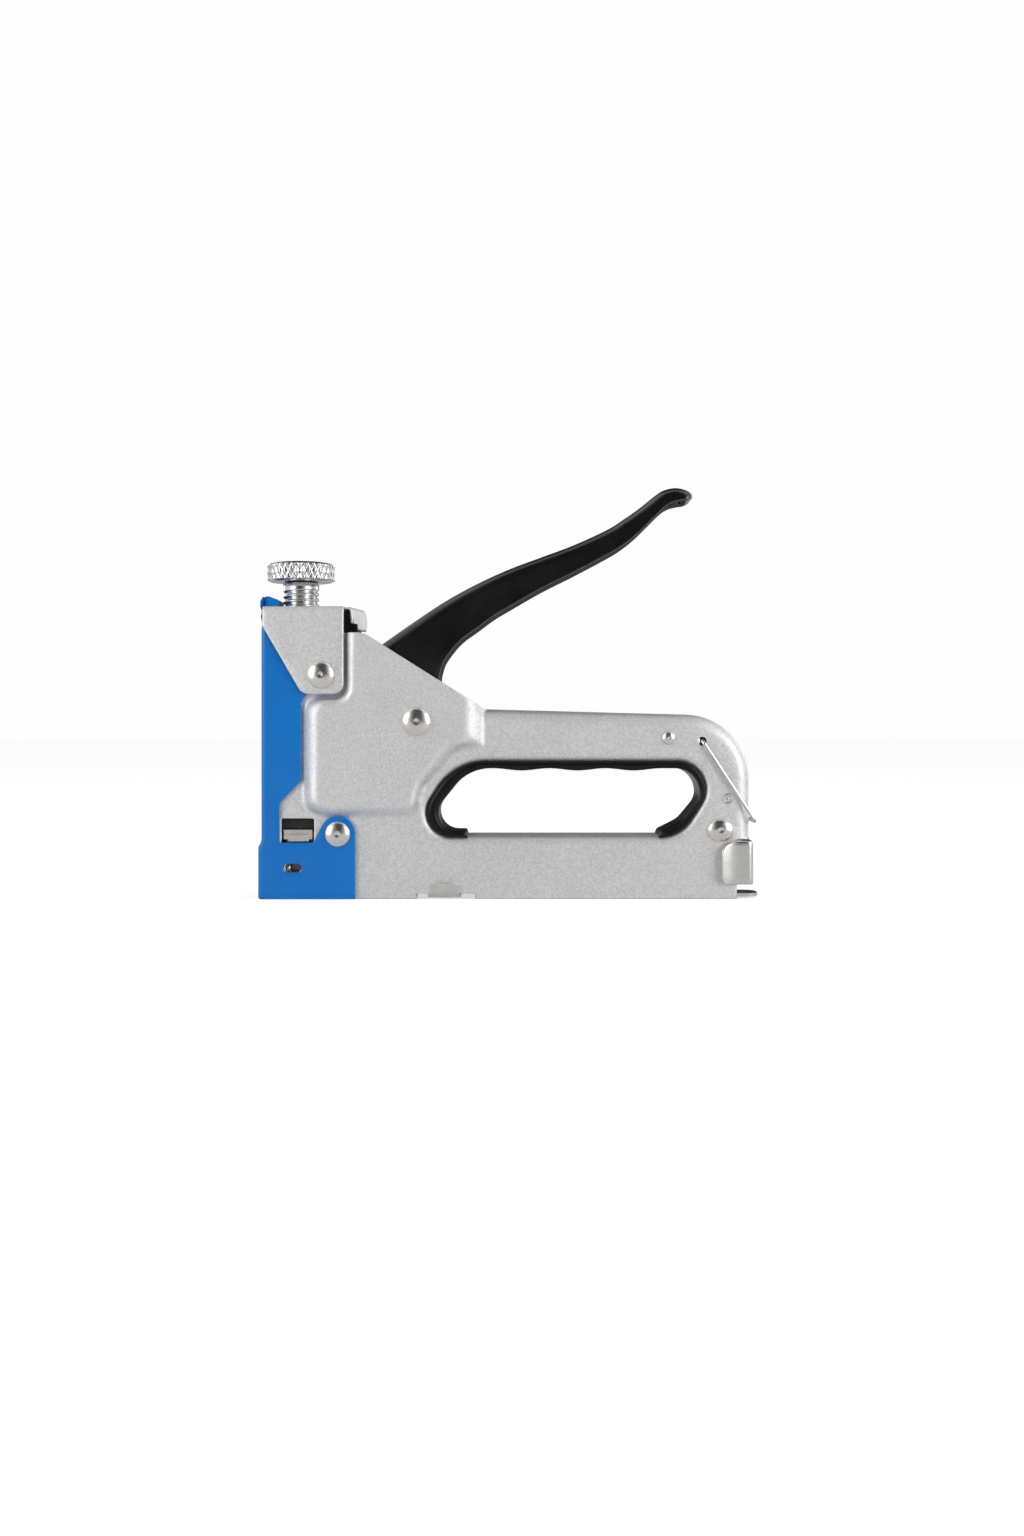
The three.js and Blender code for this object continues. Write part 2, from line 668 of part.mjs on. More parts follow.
add('handle', handle(), 'black');
add('lifter', lifter(), 'zinc');
add('handle_return_spring', coil(4.4, 0.5, 3.1, 3, 12, 'y', [pivot.x, 3.9, pivot.z]), 'spring');
add('pivot_rivet', throughRivet(pivot, pivotShank, 4.4, bulgeHalf + gap, 1.1), 'polished');
add('pivot_bush', sleeve(pivotShank + gap, 3.7, 3.3, 7.7, 'y', [pivot.x, 0, pivot.z]), 'zinc');

const bracketSeat = bracketHalf + gap;
add('bracket_rivet_left', shortRivet(bracketRivet, -1, rivetShank, 4.2, 7.2, bracketSeat, 1.1), 'polished');
add('bracket_rivet_right', shortRivet(bracketRivet, 1, rivetShank, 4.2, 7.2, bracketSeat, 1.1), 'polished');
add('front_rivet', throughRivet(frontRivet, rivetShank, 3.95, coverHalf + gap, 1.1), 'polished');
add('rear_rivet', throughRivet(rearRivet, rivetShank, 3.9, panelHalf + gap, 1.1), 'polished');
add('bar_rivet', throughRivet(barRivet, barShank, 2.1, panelHalf + gap, 0.6), 'polished');
add('rear_pin', pin(pinShank, -panelHalf - 0.2, panelHalf + 0.2, 'y', [rearPin.x, 0, rearPin.z], 12), 'zinc');

const spacerHalf = panelIn - gap;
for (const [name, spot, shank, outer] of [
  ['front_spacer', frontRivet, rivetShank, 2.7],
  ['rear_spacer', rearRivet, rivetShank, 2.8],
  ['bar_spacer', barRivet, barShank, 2.2],
]) {
  add(name, sleeve(shank + gap / 2, outer, -spacerHalf, spacerHalf, 'y', [spot.x, 0, spot.z]), 'zinc');
}

add('wire_bail', wireBail(), 'polished');

export default gun;
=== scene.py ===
import math

import bmesh
import bpy
import numpy as np
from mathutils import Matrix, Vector
from mathutils.geometry import delaunay_2d_cdt


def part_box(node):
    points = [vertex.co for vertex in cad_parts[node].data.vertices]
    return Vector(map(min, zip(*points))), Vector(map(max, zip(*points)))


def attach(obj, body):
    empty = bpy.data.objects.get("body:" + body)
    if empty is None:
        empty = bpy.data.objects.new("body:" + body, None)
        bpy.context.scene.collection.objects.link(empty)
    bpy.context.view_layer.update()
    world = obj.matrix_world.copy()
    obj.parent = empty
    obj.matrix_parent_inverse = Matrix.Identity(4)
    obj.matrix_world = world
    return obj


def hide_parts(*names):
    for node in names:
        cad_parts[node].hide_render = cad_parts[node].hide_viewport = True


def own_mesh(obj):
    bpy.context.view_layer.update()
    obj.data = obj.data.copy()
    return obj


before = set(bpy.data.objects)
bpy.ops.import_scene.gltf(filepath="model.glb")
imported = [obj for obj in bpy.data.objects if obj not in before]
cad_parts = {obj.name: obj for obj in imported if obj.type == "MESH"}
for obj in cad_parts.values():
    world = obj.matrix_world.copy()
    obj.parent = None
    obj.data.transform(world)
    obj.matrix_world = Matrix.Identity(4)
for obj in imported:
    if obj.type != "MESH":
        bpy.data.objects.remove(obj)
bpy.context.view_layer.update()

MM = 0.001


def box_mm(node):
    """A CAD node's lowest and highest corner, in millimetres."""
    low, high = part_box(node)
    return np.array(low) / MM, np.array(high) / MM


# ---- sizes that several pieces share ----
SHELL_SHEET = 1.2
PANEL_HALF = 8.5
BULGE_HALF = 12.0
SEAM = 0.15
COVER_HALF = 9.7
BRACKET_HALF = 11.0

bracket_high = box_mm("top_bracket")[1]
shell_low, shell_high = box_mm("left_shell")
knob_low, knob_high = box_mm("adjusting_knob")
screw_low, screw_high = box_mm("adjusting_screw")


def middle(node):
    low, high = box_mm(node)
    return (low + high) / 2


SPRING_X = middle("adjusting_knob")[0]


# ---- outlines ----
def rounded(corners, arc_step=9.0):
    """A closed outline from corners (x, z, radius), with an arc at each corner that has a radius."""
    points = []
    count = len(corners)
    for i, corner in enumerate(corners):
        here = np.array(corner[:2], float)
        radius = corner[2] if len(corner) > 2 else 0
        if radius == 0:
            points.append(here)
            continue
        back = np.array(corners[i - 1][:2], float) - here
        ahead = np.array(corners[(i + 1) % count][:2], float) - here
        back /= np.linalg.norm(back)
        ahead /= np.linalg.norm(ahead)
        half = math.acos(max(-1, min(1, float(back @ ahead)))) / 2
        bisector = back + ahead
        centre = here + bisector / np.linalg.norm(bisector) * radius / math.sin(half)
        first = here + back * radius / math.tan(half) - centre
        turn = (math.pi - 2 * half) * np.sign(ahead[0] * back[1] - ahead[1] * back[0])
        steps = max(3, math.ceil(abs(math.degrees(turn)) / arc_step))
        for k in range(steps + 1):
            c, s = math.cos(turn * k / steps), math.sin(turn * k / steps)
            points.append(centre + [c * first[0] - s * first[1], s * first[0] + c * first[1]])
    return np.array(points)


def circle(x, z, radius, sides=32):
    angles = np.linspace(0, 2 * math.pi, sides, endpoint=False)
    return np.column_stack([x + radius * np.cos(angles), z + radius * np.sin(angles)])


def smooth_line(points, spacing):
    """An open Catmull-Rom curve through the points, with samples about spacing apart."""
    p = np.array(points, float)
    p = np.vstack([2 * p[0] - p[1], p, 2 * p[-1] - p[-2]])
    out = []
    for i in range(1, len(p) - 2):
        steps = max(1, round(float(np.linalg.norm(p[i + 1] - p[i])) / spacing))
        for k in range(steps):
            t = k / steps
            out.append(0.5 * (2 * p[i] + (p[i + 1] - p[i - 1]) * t
                              + (2 * p[i - 1] - 5 * p[i] + 4 * p[i + 1] - p[i + 2]) * t ** 2
                              + (3 * p[i] - p[i - 1] - 3 * p[i + 1] + p[i + 2]) * t ** 3))
    out.append(p[-2])
    return np.array(out)


def split_long(outline, longest):
    """The same closed outline with extra points on its long edges."""
    points = []
    for a, b in zip(outline, np.roll(outline, -1, axis=0)):
        steps = max(1, math.ceil(float(np.linalg.norm(b - a)) / longest))
        points.extend(a + (b - a) * k / steps for k in range(steps))
    return np.array(points)


def edge_distance(points, starts, ends):
    """The distance from each point to the nearest of the segments."""
    nearest = np.full(len(points), 1e9)
    for a, b in zip(starts, ends):
        ab = b - a
        t = np.clip(((points - a) @ ab) / max(float(ab @ ab), 1e-12), 0, 1)
        nearest = np.minimum(nearest, np.linalg.norm(points - a - t[:, None] * ab, axis=1))
    return nearest


def outline_distance(points, outline):
    return edge_distance(points, outline, np.roll(outline, -1, axis=0))


def inside(points, outline):
    x, z = points[:, 0], points[:, 1]
    odd = np.zeros(len(points), bool)
    for (ax, az), (bx, bz) in zip(outline, np.roll(outline, -1, axis=0)):
        crosses = (az > z) != (bz > z)
        run = ax + (z - az) * (bx - ax) / (bz - az if bz != az else 1e-12)
        odd ^= crosses & (x < run)
    return odd


# ---- skins: flat triangle meshes with rings of points along their edges ----
def flat_skin(outline, holes, spacing, rings, rows=(), edge_step=None):
    """Points, triangles and boundary loops of a flat region, ready to be bent or raised.

    rings are distances from the edges that get a line of points; rows are further lines of points.
    """
    loops = [split_long(line, edge_step or spacing) for line in [outline, *holes]]
    starts = np.vstack(loops)
    ends = np.vstack([np.roll(line, -1, axis=0) for line in loops])

    def in_region(points):
        keep = inside(points, loops[0])
        for hole in loops[1:]:
            keep &= ~inside(points, hole)
        return keep

    def clear_of_edges(points, distance):
        points = points[in_region(points)]
        return points[edge_distance(points, starts, ends) > distance]

    extra = []
    for line in loops:
        along = np.roll(line, -1, axis=0) - np.roll(line, 1, axis=0)
        along /= np.linalg.norm(along, axis=1)[:, None]
        normal = np.column_stack([-along[:, 1], along[:, 0]])
        for distance in rings:
            for side in (1, -1):
                extra.append(clear_of_edges(line + normal * distance * side, distance * 0.95))
    reach = max(rings)
    low, high = loops[0].min(0), loops[0].max(0)
    gx, gz = np.meshgrid(np.arange(low[0], high[0], spacing), np.arange(low[1], high[1], spacing))
    gx[1::2] += spacing / 2
    grid = clear_of_edges(np.column_stack([gx.ravel(), gz.ravel()]), reach + spacing * 0.5)
    for row in rows:
        extra.append(clear_of_edges(row, reach * 1.3))
        grid = grid[edge_distance(grid, row[:1], row[-1:]) > spacing * 0.45]
    extra.append(grid)
    points = np.vstack([starts, *extra])
    edges, first = [], 0
    for line in loops:
        edges.extend((first + k, first + (k + 1) % len(line)) for k in range(len(line)))
        first += len(line)
    found = delaunay_2d_cdt([Vector(p) for p in points], edges, [], 0, 1e-6)
    flat = np.array([list(v) for v in found[0]])
    triangles = np.array(found[2])
    triangles = triangles[in_region(flat[triangles].mean(axis=1))]
    where = {}
    for new, olds in enumerate(found[3]):
        for old in olds:
            where[old] = new
    bounds, first = [], 0
    for line in loops:
        bounds.append([where[first + k] for k in range(len(line))])
        first += len(line)

    # The triangles run anticlockwise, so one that meets an edge from outside runs along it the wrong way.
    outside = set()
    for line, loop in zip(loops, bounds):
        area = (line[:, 0] * np.roll(line[:, 1], -1) - np.roll(line[:, 0], -1) * line[:, 1]).sum()
        region_on_left = (area > 0) == (loop is bounds[0])
        for a, b in zip(loop, loop[1:] + loop[:1]):
            outside.add((b, a) if region_on_left else (a, b))
    triangles = np.array([
        t for t in triangles.tolist() if not outside & {(t[0], t[1]), (t[1], t[2]), (t[2], t[0])}
    ])
    return flat, triangles, bounds


def change_mesh(data, change):
    """Runs a change on a mesh through bmesh."""
    mesh = bmesh.new()
    mesh.from_mesh(data)
    change(mesh)
    mesh.to_mesh(data)
    mesh.free()


def drop_loose(mesh):
    bmesh.ops.delete(mesh, geom=[v for v in mesh.verts if not v.link_faces], context="VERTS")


def agree(piece, lean=None):
    """Makes a piece's faces agree, and turns them over where lean adds up to less than nothing."""
    def change(mesh):
        bmesh.ops.recalc_face_normals(mesh, faces=mesh.faces)
        if lean and sum(lean(f) * f.calc_area() for f in mesh.faces) < 0:
            bmesh.ops.reverse_faces(mesh, faces=mesh.faces)

    change_mesh(piece.data, change)


def make_piece(name, points, faces, body, material, smooth=True):
    """A mesh object from points in millimetres, riding on a body."""
    mesh = bpy.data.meshes.new(name)
    corners = [tuple(p * MM) for p in np.asarray(points, float)]
    mesh.from_pydata(corners, [], [list(map(int, f)) for f in faces])
    mesh.validate()
    change_mesh(mesh, drop_loose)
    mesh.polygons.foreach_set("use_smooth", [smooth] * len(mesh.polygons))
    piece = bpy.data.objects.new(name, mesh)
    bpy.context.scene.collection.objects.link(piece)
    piece.data.materials.append(material)
    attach(piece, body)
    return piece


def face_out(piece):
    """Turns every face of a closed piece outwards."""
    agree(piece)


def thicken(piece, thickness):
    """Gives a skin its sheet thickness on its inner side, keeping the outer side where it is."""
    solid = piece.modifiers.new("sheet", "SOLIDIFY")
    solid.thickness = thickness * MM
    solid.offset = -1
    solid.use_even_offset = False
    solid.use_rim = True


def soften(piece, width, segments=3, angle=35):
    """Rounds the sharp edges of a piece."""
    bevel = piece.modifiers.new("edges", "BEVEL")
    bevel.width = width * MM
    bevel.segments = segments
    bevel.limit_method = "ANGLE"
    bevel.angle_limit = math.radians(angle)
    bevel.harden_normals = True
    bevel.use_clamp_overlap = True


def roll(distance, radius):
    """How far a rounded edge has dropped at a distance from its outer line."""
    d = np.clip(distance, 0, radius)
    return radius - np.sqrt(radius ** 2 - (radius - d) ** 2)


# ---- materials ----
def new_material(name, base, metallic, roughness):
    material = bpy.data.materials.new(name)
    material.use_nodes = True
    shader = material.node_tree.nodes["Principled BSDF"]
    shader.inputs["Base Color"].default_value = (*base, 1)
    shader.inputs["Metallic"].default_value = metallic
    shader.inputs["Roughness"].default_value = roughness
    return material, material.node_tree.nodes, material.node_tree.links, shader


def noise_node(nodes, links, scale, detail=3.0, stretch=(1, 1, 1), roughness=0.5):
    """A noise texture in the piece's own metres. scale is features per millimetre."""
    place = nodes.new("ShaderNodeTexCoord")
    mapping = nodes.new("ShaderNodeMapping")
    mapping.inputs["Scale"].default_value = stretch
    noise = nodes.new("ShaderNodeTexNoise")
    noise.inputs["Scale"].default_value = scale / MM
    noise.inputs["Detail"].default_value = detail
    noise.inputs["Roughness"].default_value = roughness
    links.new(place.outputs["Object"], mapping.inputs["Vector"])
    links.new(mapping.outputs["Vector"], noise.inputs["Vector"])
    return noise


def vary_colour(nodes, links, shader, noise, dark, light, low=0.35, high=0.65):
    ramp = nodes.new("ShaderNodeValToRGB")
    ramp.color_ramp.elements[0].position = low
    ramp.color_ramp.elements[0].color = (*dark, 1)
    ramp.color_ramp.elements[1].position = high
    ramp.color_ramp.elements[1].color = (*light, 1)
    links.new(noise.outputs["Fac"], ramp.inputs["Fac"])
    links.new(ramp.outputs["Color"], shader.inputs["Base Color"])


def vary_roughness(nodes, links, shader, noise, low, high):
    spread = nodes.new("ShaderNodeMapRange")
    spread.inputs["From Min"].default_value = 0.3
    spread.inputs["From Max"].default_value = 0.7
    spread.inputs["To Min"].default_value = low
    spread.inputs["To Max"].default_value = high
    links.new(noise.outputs["Fac"], spread.inputs["Value"])
    links.new(spread.outputs["Result"], shader.inputs["Roughness"])


def bump_from(nodes, links, shader, noise, strength, depth):
    bump = nodes.new("ShaderNodeBump")
    bump.inputs["Strength"].default_value = strength
    bump.inputs["Distance"].default_value = depth * MM
    links.new(noise.outputs["Fac"], bump.inputs["Height"])
    links.new(bump.outputs["Normal"], shader.inputs["Normal"])


def satin_steel():
    """Bead-blasted plating: a fine mottled grain, finer than a millimetre, on neutral grey metal."""
    material, nodes, links, shader = new_material("satin_steel", (0.8, 0.8, 0.8), 0.9, 0.55)
    grain = noise_node(nodes, links, 1.6, detail=4, roughness=0.65)
    vary_colour(nodes, links, shader, grain, (0.72, 0.72, 0.72), (0.92, 0.92, 0.92))
    broad = noise_node(nodes, links, 0.09, detail=2)
    vary_roughness(nodes, links, shader, broad, 0.52, 0.58)
    fine = noise_node(nodes, links, 2.4, detail=3, roughness=0.6)
    bump_from(nodes, links, shader, fine, 0.35, 0.03)
    return material


def blue_paint():
    material, nodes, links, shader = new_material("blue_paint", (0.0, 0.184, 0.612), 0.0, 0.38)
    tone = noise_node(nodes, links, 0.05, detail=2)
    vary_colour(nodes, links, shader, tone, (0.0, 0.177, 0.597), (0.0, 0.192, 0.630))
    peel = noise_node(nodes, links, 1.2, detail=2)
    bump_from(nodes, links, shader, peel, 0.12, 0.02)
    shader.inputs["Specular IOR Level"].default_value = 0.3
    shader.inputs["Coat Weight"].default_value = 0.3
    shader.inputs["Coat Roughness"].default_value = 0.22
    return material


def black_enamel():
    material, nodes, links, shader = new_material("black_enamel", (0.006, 0.006, 0.006), 0.0, 0.22)
    tone = noise_node(nodes, links, 0.06, detail=3)
    vary_colour(nodes, links, shader, tone, (0.002, 0.002, 0.002), (0.004, 0.004, 0.004))
    vary_roughness(nodes, links, shader, tone, 0.2, 0.3)
    peel = noise_node(nodes, links, 0.5, detail=2)
    bump_from(nodes, links, shader, peel, 0.1, 0.03)
    shader.inputs["Coat Weight"].default_value = 1.0
    shader.inputs["Coat Roughness"].default_value = 0.07
    return material


def black_plastic():
    material, nodes, links, shader = new_material("black_plastic", (0.004, 0.004, 0.004), 0.0, 0.3)
    tone = noise_node(nodes, links, 0.2, detail=2)
    vary_colour(nodes, links, shader, tone, (0.003, 0.003, 0.003), (0.005, 0.005, 0.005))
    skin = noise_node(nodes, links, 2.5, detail=2)
    bump_from(nodes, links, shader, skin, 0.15, 0.02)
    shader.inputs["Specular IOR Level"].default_value = 0.25
    return material


def black_rubber():
    material, nodes, links, shader = new_material("black_rubber", (0.012, 0.012, 0.012), 0.0, 0.7)
    skin = noise_node(nodes, links, 1.5, detail=4)
    vary_colour(nodes, links, shader, skin, (0.008, 0.008, 0.008), (0.02, 0.02, 0.02))
    bump_from(nodes, links, shader, skin, 0.4, 0.05)
    return material


def plated(name, base, roughness, grain_scale, stretch=(1, 1, 1), strength=0.08):
    """Bright plating with slight roughness clouds and faint polishing marks."""
    material, nodes, links, shader = new_material(name, base, 1.0, roughness)
    clouds = noise_node(nodes, links, 0.35, detail=3)
    vary_colour(nodes, links, shader, clouds, tuple(c * 0.94 for c in base), base)
    marks = noise_node(nodes, links, grain_scale, detail=3, stretch=stretch)
    vary_roughness(nodes, links, shader, marks, roughness * 0.85, roughness * 1.2)
    bump_from(nodes, links, shader, marks, strength, 0.02)
    return material


SATIN = satin_steel()
BLUE = blue_paint()
ENAMEL = black_enamel()
PLASTIC = black_plastic()
RUBBER = black_rubber()
NICKEL = plated("polished_nickel", (0.86, 0.83, 0.80), 0.22, 0.8, strength=0.03)
ZINC = plated("zinc_plate", (0.68, 0.68, 0.67), 0.2, 1.5, strength=0.12)
POLISHED = plated("polished_steel", (0.80, 0.79, 0.77), 0.2, 1.2, stretch=(0.15, 1, 1), strength=0.03)
SPRING = plated("spring_wire", (0.5, 0.5, 0.5), 0.3, 1.0)
# Painted shade: the staple pusher gets a dark grey base so that the cover's slot shows a dark, shaded
# interior.
SLOT_SHADE_DARK_STEEL = plated("slot_shade_dark_steel", (0.16, 0.16, 0.16), 0.35, 1.0)


# ---- shells ----
def opening_corners(inset):
    """The hand opening's four corners, moved inward from the grip's outer edge."""
    grip_low, grip_high = box_mm("grip_insert")
    slant = math.radians(57.6)
    left, right, middle_z = -24.5, 60.6, 31.0
    low_z, high_z = grip_low[2] + inset, grip_high[2] - inset
    side = inset / math.sin(slant)

    def left_at(z):
        return left + side + (z - middle_z) / math.tan(slant)

    def right_at(z):
        return right - side + (z - middle_z) / math.tan(slant)

    return [
        (left_at(low_z), low_z, 8 - inset),
        (right_at(low_z), low_z, 12 - inset),
        (right_at(high_z), high_z, 8.8 - inset),
        (left_at(high_z), high_z, 18 - inset),
    ]


NOTCH = (-28.6, -10.6, 1.6)
STEP_X, STEP_Z = 70.1, 18.2
REAR_X = shell_high[0]
FRONT_X = shell_low[0]

SHELL_OUTLINE = rounded([
    (FRONT_X, 0),
    (NOTCH[0], 0),
    (NOTCH[0], NOTCH[2]),
    (NOTCH[1], NOTCH[2]),
    (NOTCH[1], 0),
    (STEP_X, 0),
    (STEP_X, STEP_Z),
    (REAR_X, STEP_Z),
    (REAR_X, 56.3, 20),
    (-7.6, 58.5, 2),
    (-43.6, 81.2, 3),
    (-46, 82),
    (-51.2, 82),
    (-51.2, shell_high[2]),
    (FRONT_X, shell_high[2]),
], 4.0)

BULGE_FOOT = rounded([
    (-63.4, 25.7, 5.5), (-28.2, 25.7, 3), (-26.8, 34, 9), (-15.4, 46.2, 4), (-8, 46.2, 1.5), (-8, 64),
    (-46, 90), (-50.4, 90), (-50.4, 62.0, 4.0), (-63.4, 62.0, 5),
])
BULGE_FACE = rounded([
    (-58.6, 28.6, 3), (-31, 28.6, 3), (-29.4, 36, 9), (-20, 48.6, 6), (-14.6, 48.6, 1), (-14.6, 66),
    (-46, 90), (-48.2, 90), (-48.2, 60.0, 5), (-58.6, 60.0, 2.4),
])
WINDOW = rounded([(-70.3, 15.8, 0.6), (-60.3, 15.8, 0.6), (-60.3, 24.7, 0.6), (-70.3, 24.7, 0.6)], 15)
SLOT = rounded([(-69.6, 8.15, 1.3), (-64, 8.15, 1.3), (-64, 10.85, 1.3), (-69.6, 10.85, 1.3)], 15)
OPENING_INSET = 0.8
BAR_ROLL = 4.0
OPENING_ROLL = 3.0
CUT_ROLL = 0.3


def bail_hole():
    low, high = box_mm("wire_bail")
    return low[0] + 0.6, high[2] - 0.6


def flanged(points):
    """Which outline points are on the bar's top and the rear curve, where the sheet turns inwards."""
    x, z = points[:, 0], points[:, 1]
    return ((x > -7.3) & (z > 30)) | ((x > REAR_X - 0.2) & (z > STEP_Z + 0.2))


def shell_height(points, opening):
    """Half width of the outer surface over each point of the side view."""
    foot = np.where(inside(points, BULGE_FOOT), outline_distance(points, BULGE_FOOT), 0)
    face = np.where(inside(points, BULGE_FACE), 0, outline_distance(points, BULGE_FACE))
    t = foot / np.maximum(foot + face, 1e-9)
    ramp = t * (2 - t) * np.clip(t / 0.12, 0, 1) ** 0.5
    height = PANEL_HALF + (BULGE_HALF - PANEL_HALF) * ramp
    edges = split_long(SHELL_OUTLINE, 1.0)
    ends = np.roll(edges, -1, axis=0)
    turned_in = flanged(edges) & flanged(ends)
    height -= roll(edge_distance(points, edges[turned_in], ends[turned_in]), BAR_ROLL)
    height -= roll(outline_distance(points, opening), OPENING_ROLL)
    near_flange = edge_distance(points, edges[turned_in], ends[turned_in]) < 0.5
    cut = edge_distance(points, edges[~turned_in], ends[~turned_in])
    for hole in (WINDOW, SLOT):
        cut = np.minimum(cut, outline_distance(points, hole))
    height -= np.where(near_flange, 0, roll(cut, CUT_ROLL))
    return height


def make_shells():
    opening = rounded(opening_corners(OPENING_INSET), 6)
    hole_x, hole_z = bail_hole()
    holes = [opening, WINDOW, SLOT, circle(hole_x, hole_z, 1.35, 20)]
    flat, triangles, bounds = flat_skin(SHELL_OUTLINE, holes, 1.1, (0.12, 0.3, 0.8, 1.5, 2.4, 3.3))
    height = shell_height(flat, opening)
    outer_line = np.array(bounds[0])
    on_flange = flanged(flat[outer_line])
    for side, name, node in ((-1, "shell_left", "left_shell"), (1, "shell_right", "right_shell")):
        points = [np.array([x, side * h, z]) for (x, z), h in zip(flat, height)]
        faces = [tuple(f) if side < 0 else tuple(f[::-1]) for f in triangles]

        def flange(loop, chosen):
            """Strips from the rolled edge in to the middle plane."""
            rows = [list(loop)]
            for share in (0.35, 0.7, 1.0):
                row = []
                for v in loop:
                    x, z = flat[v]
                    y = height[v] + (SEAM - height[v]) * share
                    row.append(len(points))
                    points.append(np.array([x, side * y, z]))
                rows.append(row)
            count = len(loop)
            for upper, lower in zip(rows, rows[1:]):
                for k in range(count):
                    j = (k + 1) % count
                    if chosen[k] and chosen[j]:
                        quad = (upper[k], lower[k], lower[j], upper[j])
                        faces.append(quad if side < 0 else quad[::-1])

        flange(outer_line, on_flange)
        flange(np.array(bounds[1]), np.ones(len(bounds[1]), bool))
        piece = make_piece(name, points, faces, "body", SATIN)
        face_right_way(piece, side)
        thicken(piece, SHELL_SHEET)
        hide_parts(node)


def face_right_way(piece, side):
    """Makes the skin's faces agree, with the side panel facing away from the middle plane."""
    agree(piece, lambda face: face.normal.y * side)


# ---- front cover ----
COVER_SKIN = 0.9
COVER_BEND = 1.3
COVER_FRONT = -76.5
NOSE_STEP = 1.0
NOSE_TOP = 16.6

COVER_FLAP = rounded([
    (COVER_FRONT, 0), (-47.5, 0), (-47.5, 25.5, 5.4), (-56.3, 25.5, 5.4), (-60.4, 17.4, 1.5),
    (-70.8, 17.4, 0.6), (-70.8, 29.5, 3.5), (-64.1, 36.4, 3), (-64.1, 62.9, 4.2), (-59.5, 64),
    (-54.5, 64.5), (-54.5, 84),
    (COVER_FRONT, 84),
], 6.0)


def make_cover():
    """One bent sheet. Its flat pattern is measured around the front from the middle plane."""
    front_half = COVER_HALF - COVER_BEND
    quarter = COVER_BEND * math.pi / 2
    flap = COVER_FLAP[1:-1]
    around = front_half + quarter + (flap[:, 0] - COVER_FRONT - COVER_BEND)
    right = np.column_stack([around, flap[:, 1]])
    left = right[::-1] * [-1, 1]
    lug_half, lug_top = 8.0, 93.3
    lug = rounded([(lug_half, 84), (lug_half, lug_top, 1.5), (-lug_half, lug_top, 1.5), (-lug_half, 84)], 9)
    pattern = np.vstack([right, lug, left])
    slot = np.column_stack([front_half + quarter + (SLOT[:, 0] - COVER_FRONT - COVER_BEND), SLOT[:, 1]])
    holes = [slot, slot * [-1, 1]]
    bend_lines = []
    for sign in (-1, 1):
        for share in (0, 0.17, 0.33, 0.5, 0.67, 0.83, 1):
            across = sign * (front_half + quarter * share)
            top = lug_top if abs(across) < lug_half else 84
            bend_lines.append(np.column_stack([np.full(60, across), np.linspace(0.6, top - 0.6, 60)]))
    flat, triangles, _ = flat_skin(pattern, holes, 1.6, (0.1, 0.25), bend_lines)
    s, z = flat[:, 0], flat[:, 1]
    step = NOSE_STEP * np.clip((NOSE_TOP + 1.2 - z) / 1.2, 0, 1)
    step = step * step * (3 - 2 * step)
    bump = 0.55 * (np.exp(-((z - 90.9) / 1.5) ** 4) + 0.6 * np.exp(-((z - 87.4) / 0.9) ** 4))
    front = COVER_FRONT - np.clip(step, 0, NOSE_STEP) - np.where(np.abs(s) < 8.2, bump, 0)
    drop = roll(outline_distance(flat, split_long(pattern, 1.0)), 0.25)
    for hole in holes:
        drop = np.maximum(drop, roll(outline_distance(flat, hole), 0.25))
    turn = np.clip((np.abs(s) - front_half) / COVER_BEND, 0, math.pi / 2)
    beyond = np.maximum(np.abs(s) - front_half - quarter, 0)
    reach = COVER_BEND - drop
    settle = np.clip(1 - beyond / 4, 0, 1)
    centre_x = COVER_FRONT + COVER_BEND + (front - COVER_FRONT) * settle
    x = centre_x - reach * np.cos(turn) + beyond
    y = np.sign(s) * (np.minimum(np.abs(s), front_half) + reach * np.sin(turn))
    piece = make_piece("cover_sheet", np.column_stack([x, y, z]), triangles, "body", BLUE)
    face_away(piece, Vector((-60, 0, 40)) * MM)
    thicken(piece, COVER_SKIN)
    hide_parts("front_cover")

    hook = rounded([
        (-75.9, 90.2), (-71.7, 90.2, 0.3), (-71.6, 92.4, 0.8), (-74.6, 93.5, 1.2), (-75.9, 93.4, 0.4),
    ], 12)
    solid_plate("cover_hook", hook, -6.4, 6.4, "body", BLUE, 0.3)


def face_away(piece, centre):
    """Makes a skin's faces agree, facing away from a point inside it."""
    agree(piece, lambda face: face.normal.dot(face.calc_center_median() - centre))


def solid_plate(name, outline, y_low, y_high, body, material, edge):
    """A plate with its outline in the side view and rounded edges."""
    mesh = bmesh.new()
    near = [mesh.verts.new(Vector((x, y_low, z)) * MM) for x, z in outline]
    far = [mesh.verts.new(Vector((x, y_high, z)) * MM) for x, z in outline]
    mesh.faces.new(near)
    mesh.faces.new(far[::-1])
    for k in range(len(near)):
        j = (k + 1) % len(near)
        mesh.faces.new((near[k], far[k], far[j], near[j]))
    bmesh.ops.recalc_face_normals(mesh, faces=mesh.faces)
    data = bpy.data.meshes.new(name)
    mesh.to_mesh(data)
    mesh.free()
    data.polygons.foreach_set("use_smooth", [True] * len(data.polygons))
    piece = bpy.data.objects.new(name, data)
    bpy.context.scene.collection.objects.link(piece)
    data.materials.append(material)
    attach(piece, body)
    soften(piece, edge)
    return piece


# ---- top bracket ----
BRACKET_SKIN = 1.0
BRACKET_BEND = 1.1


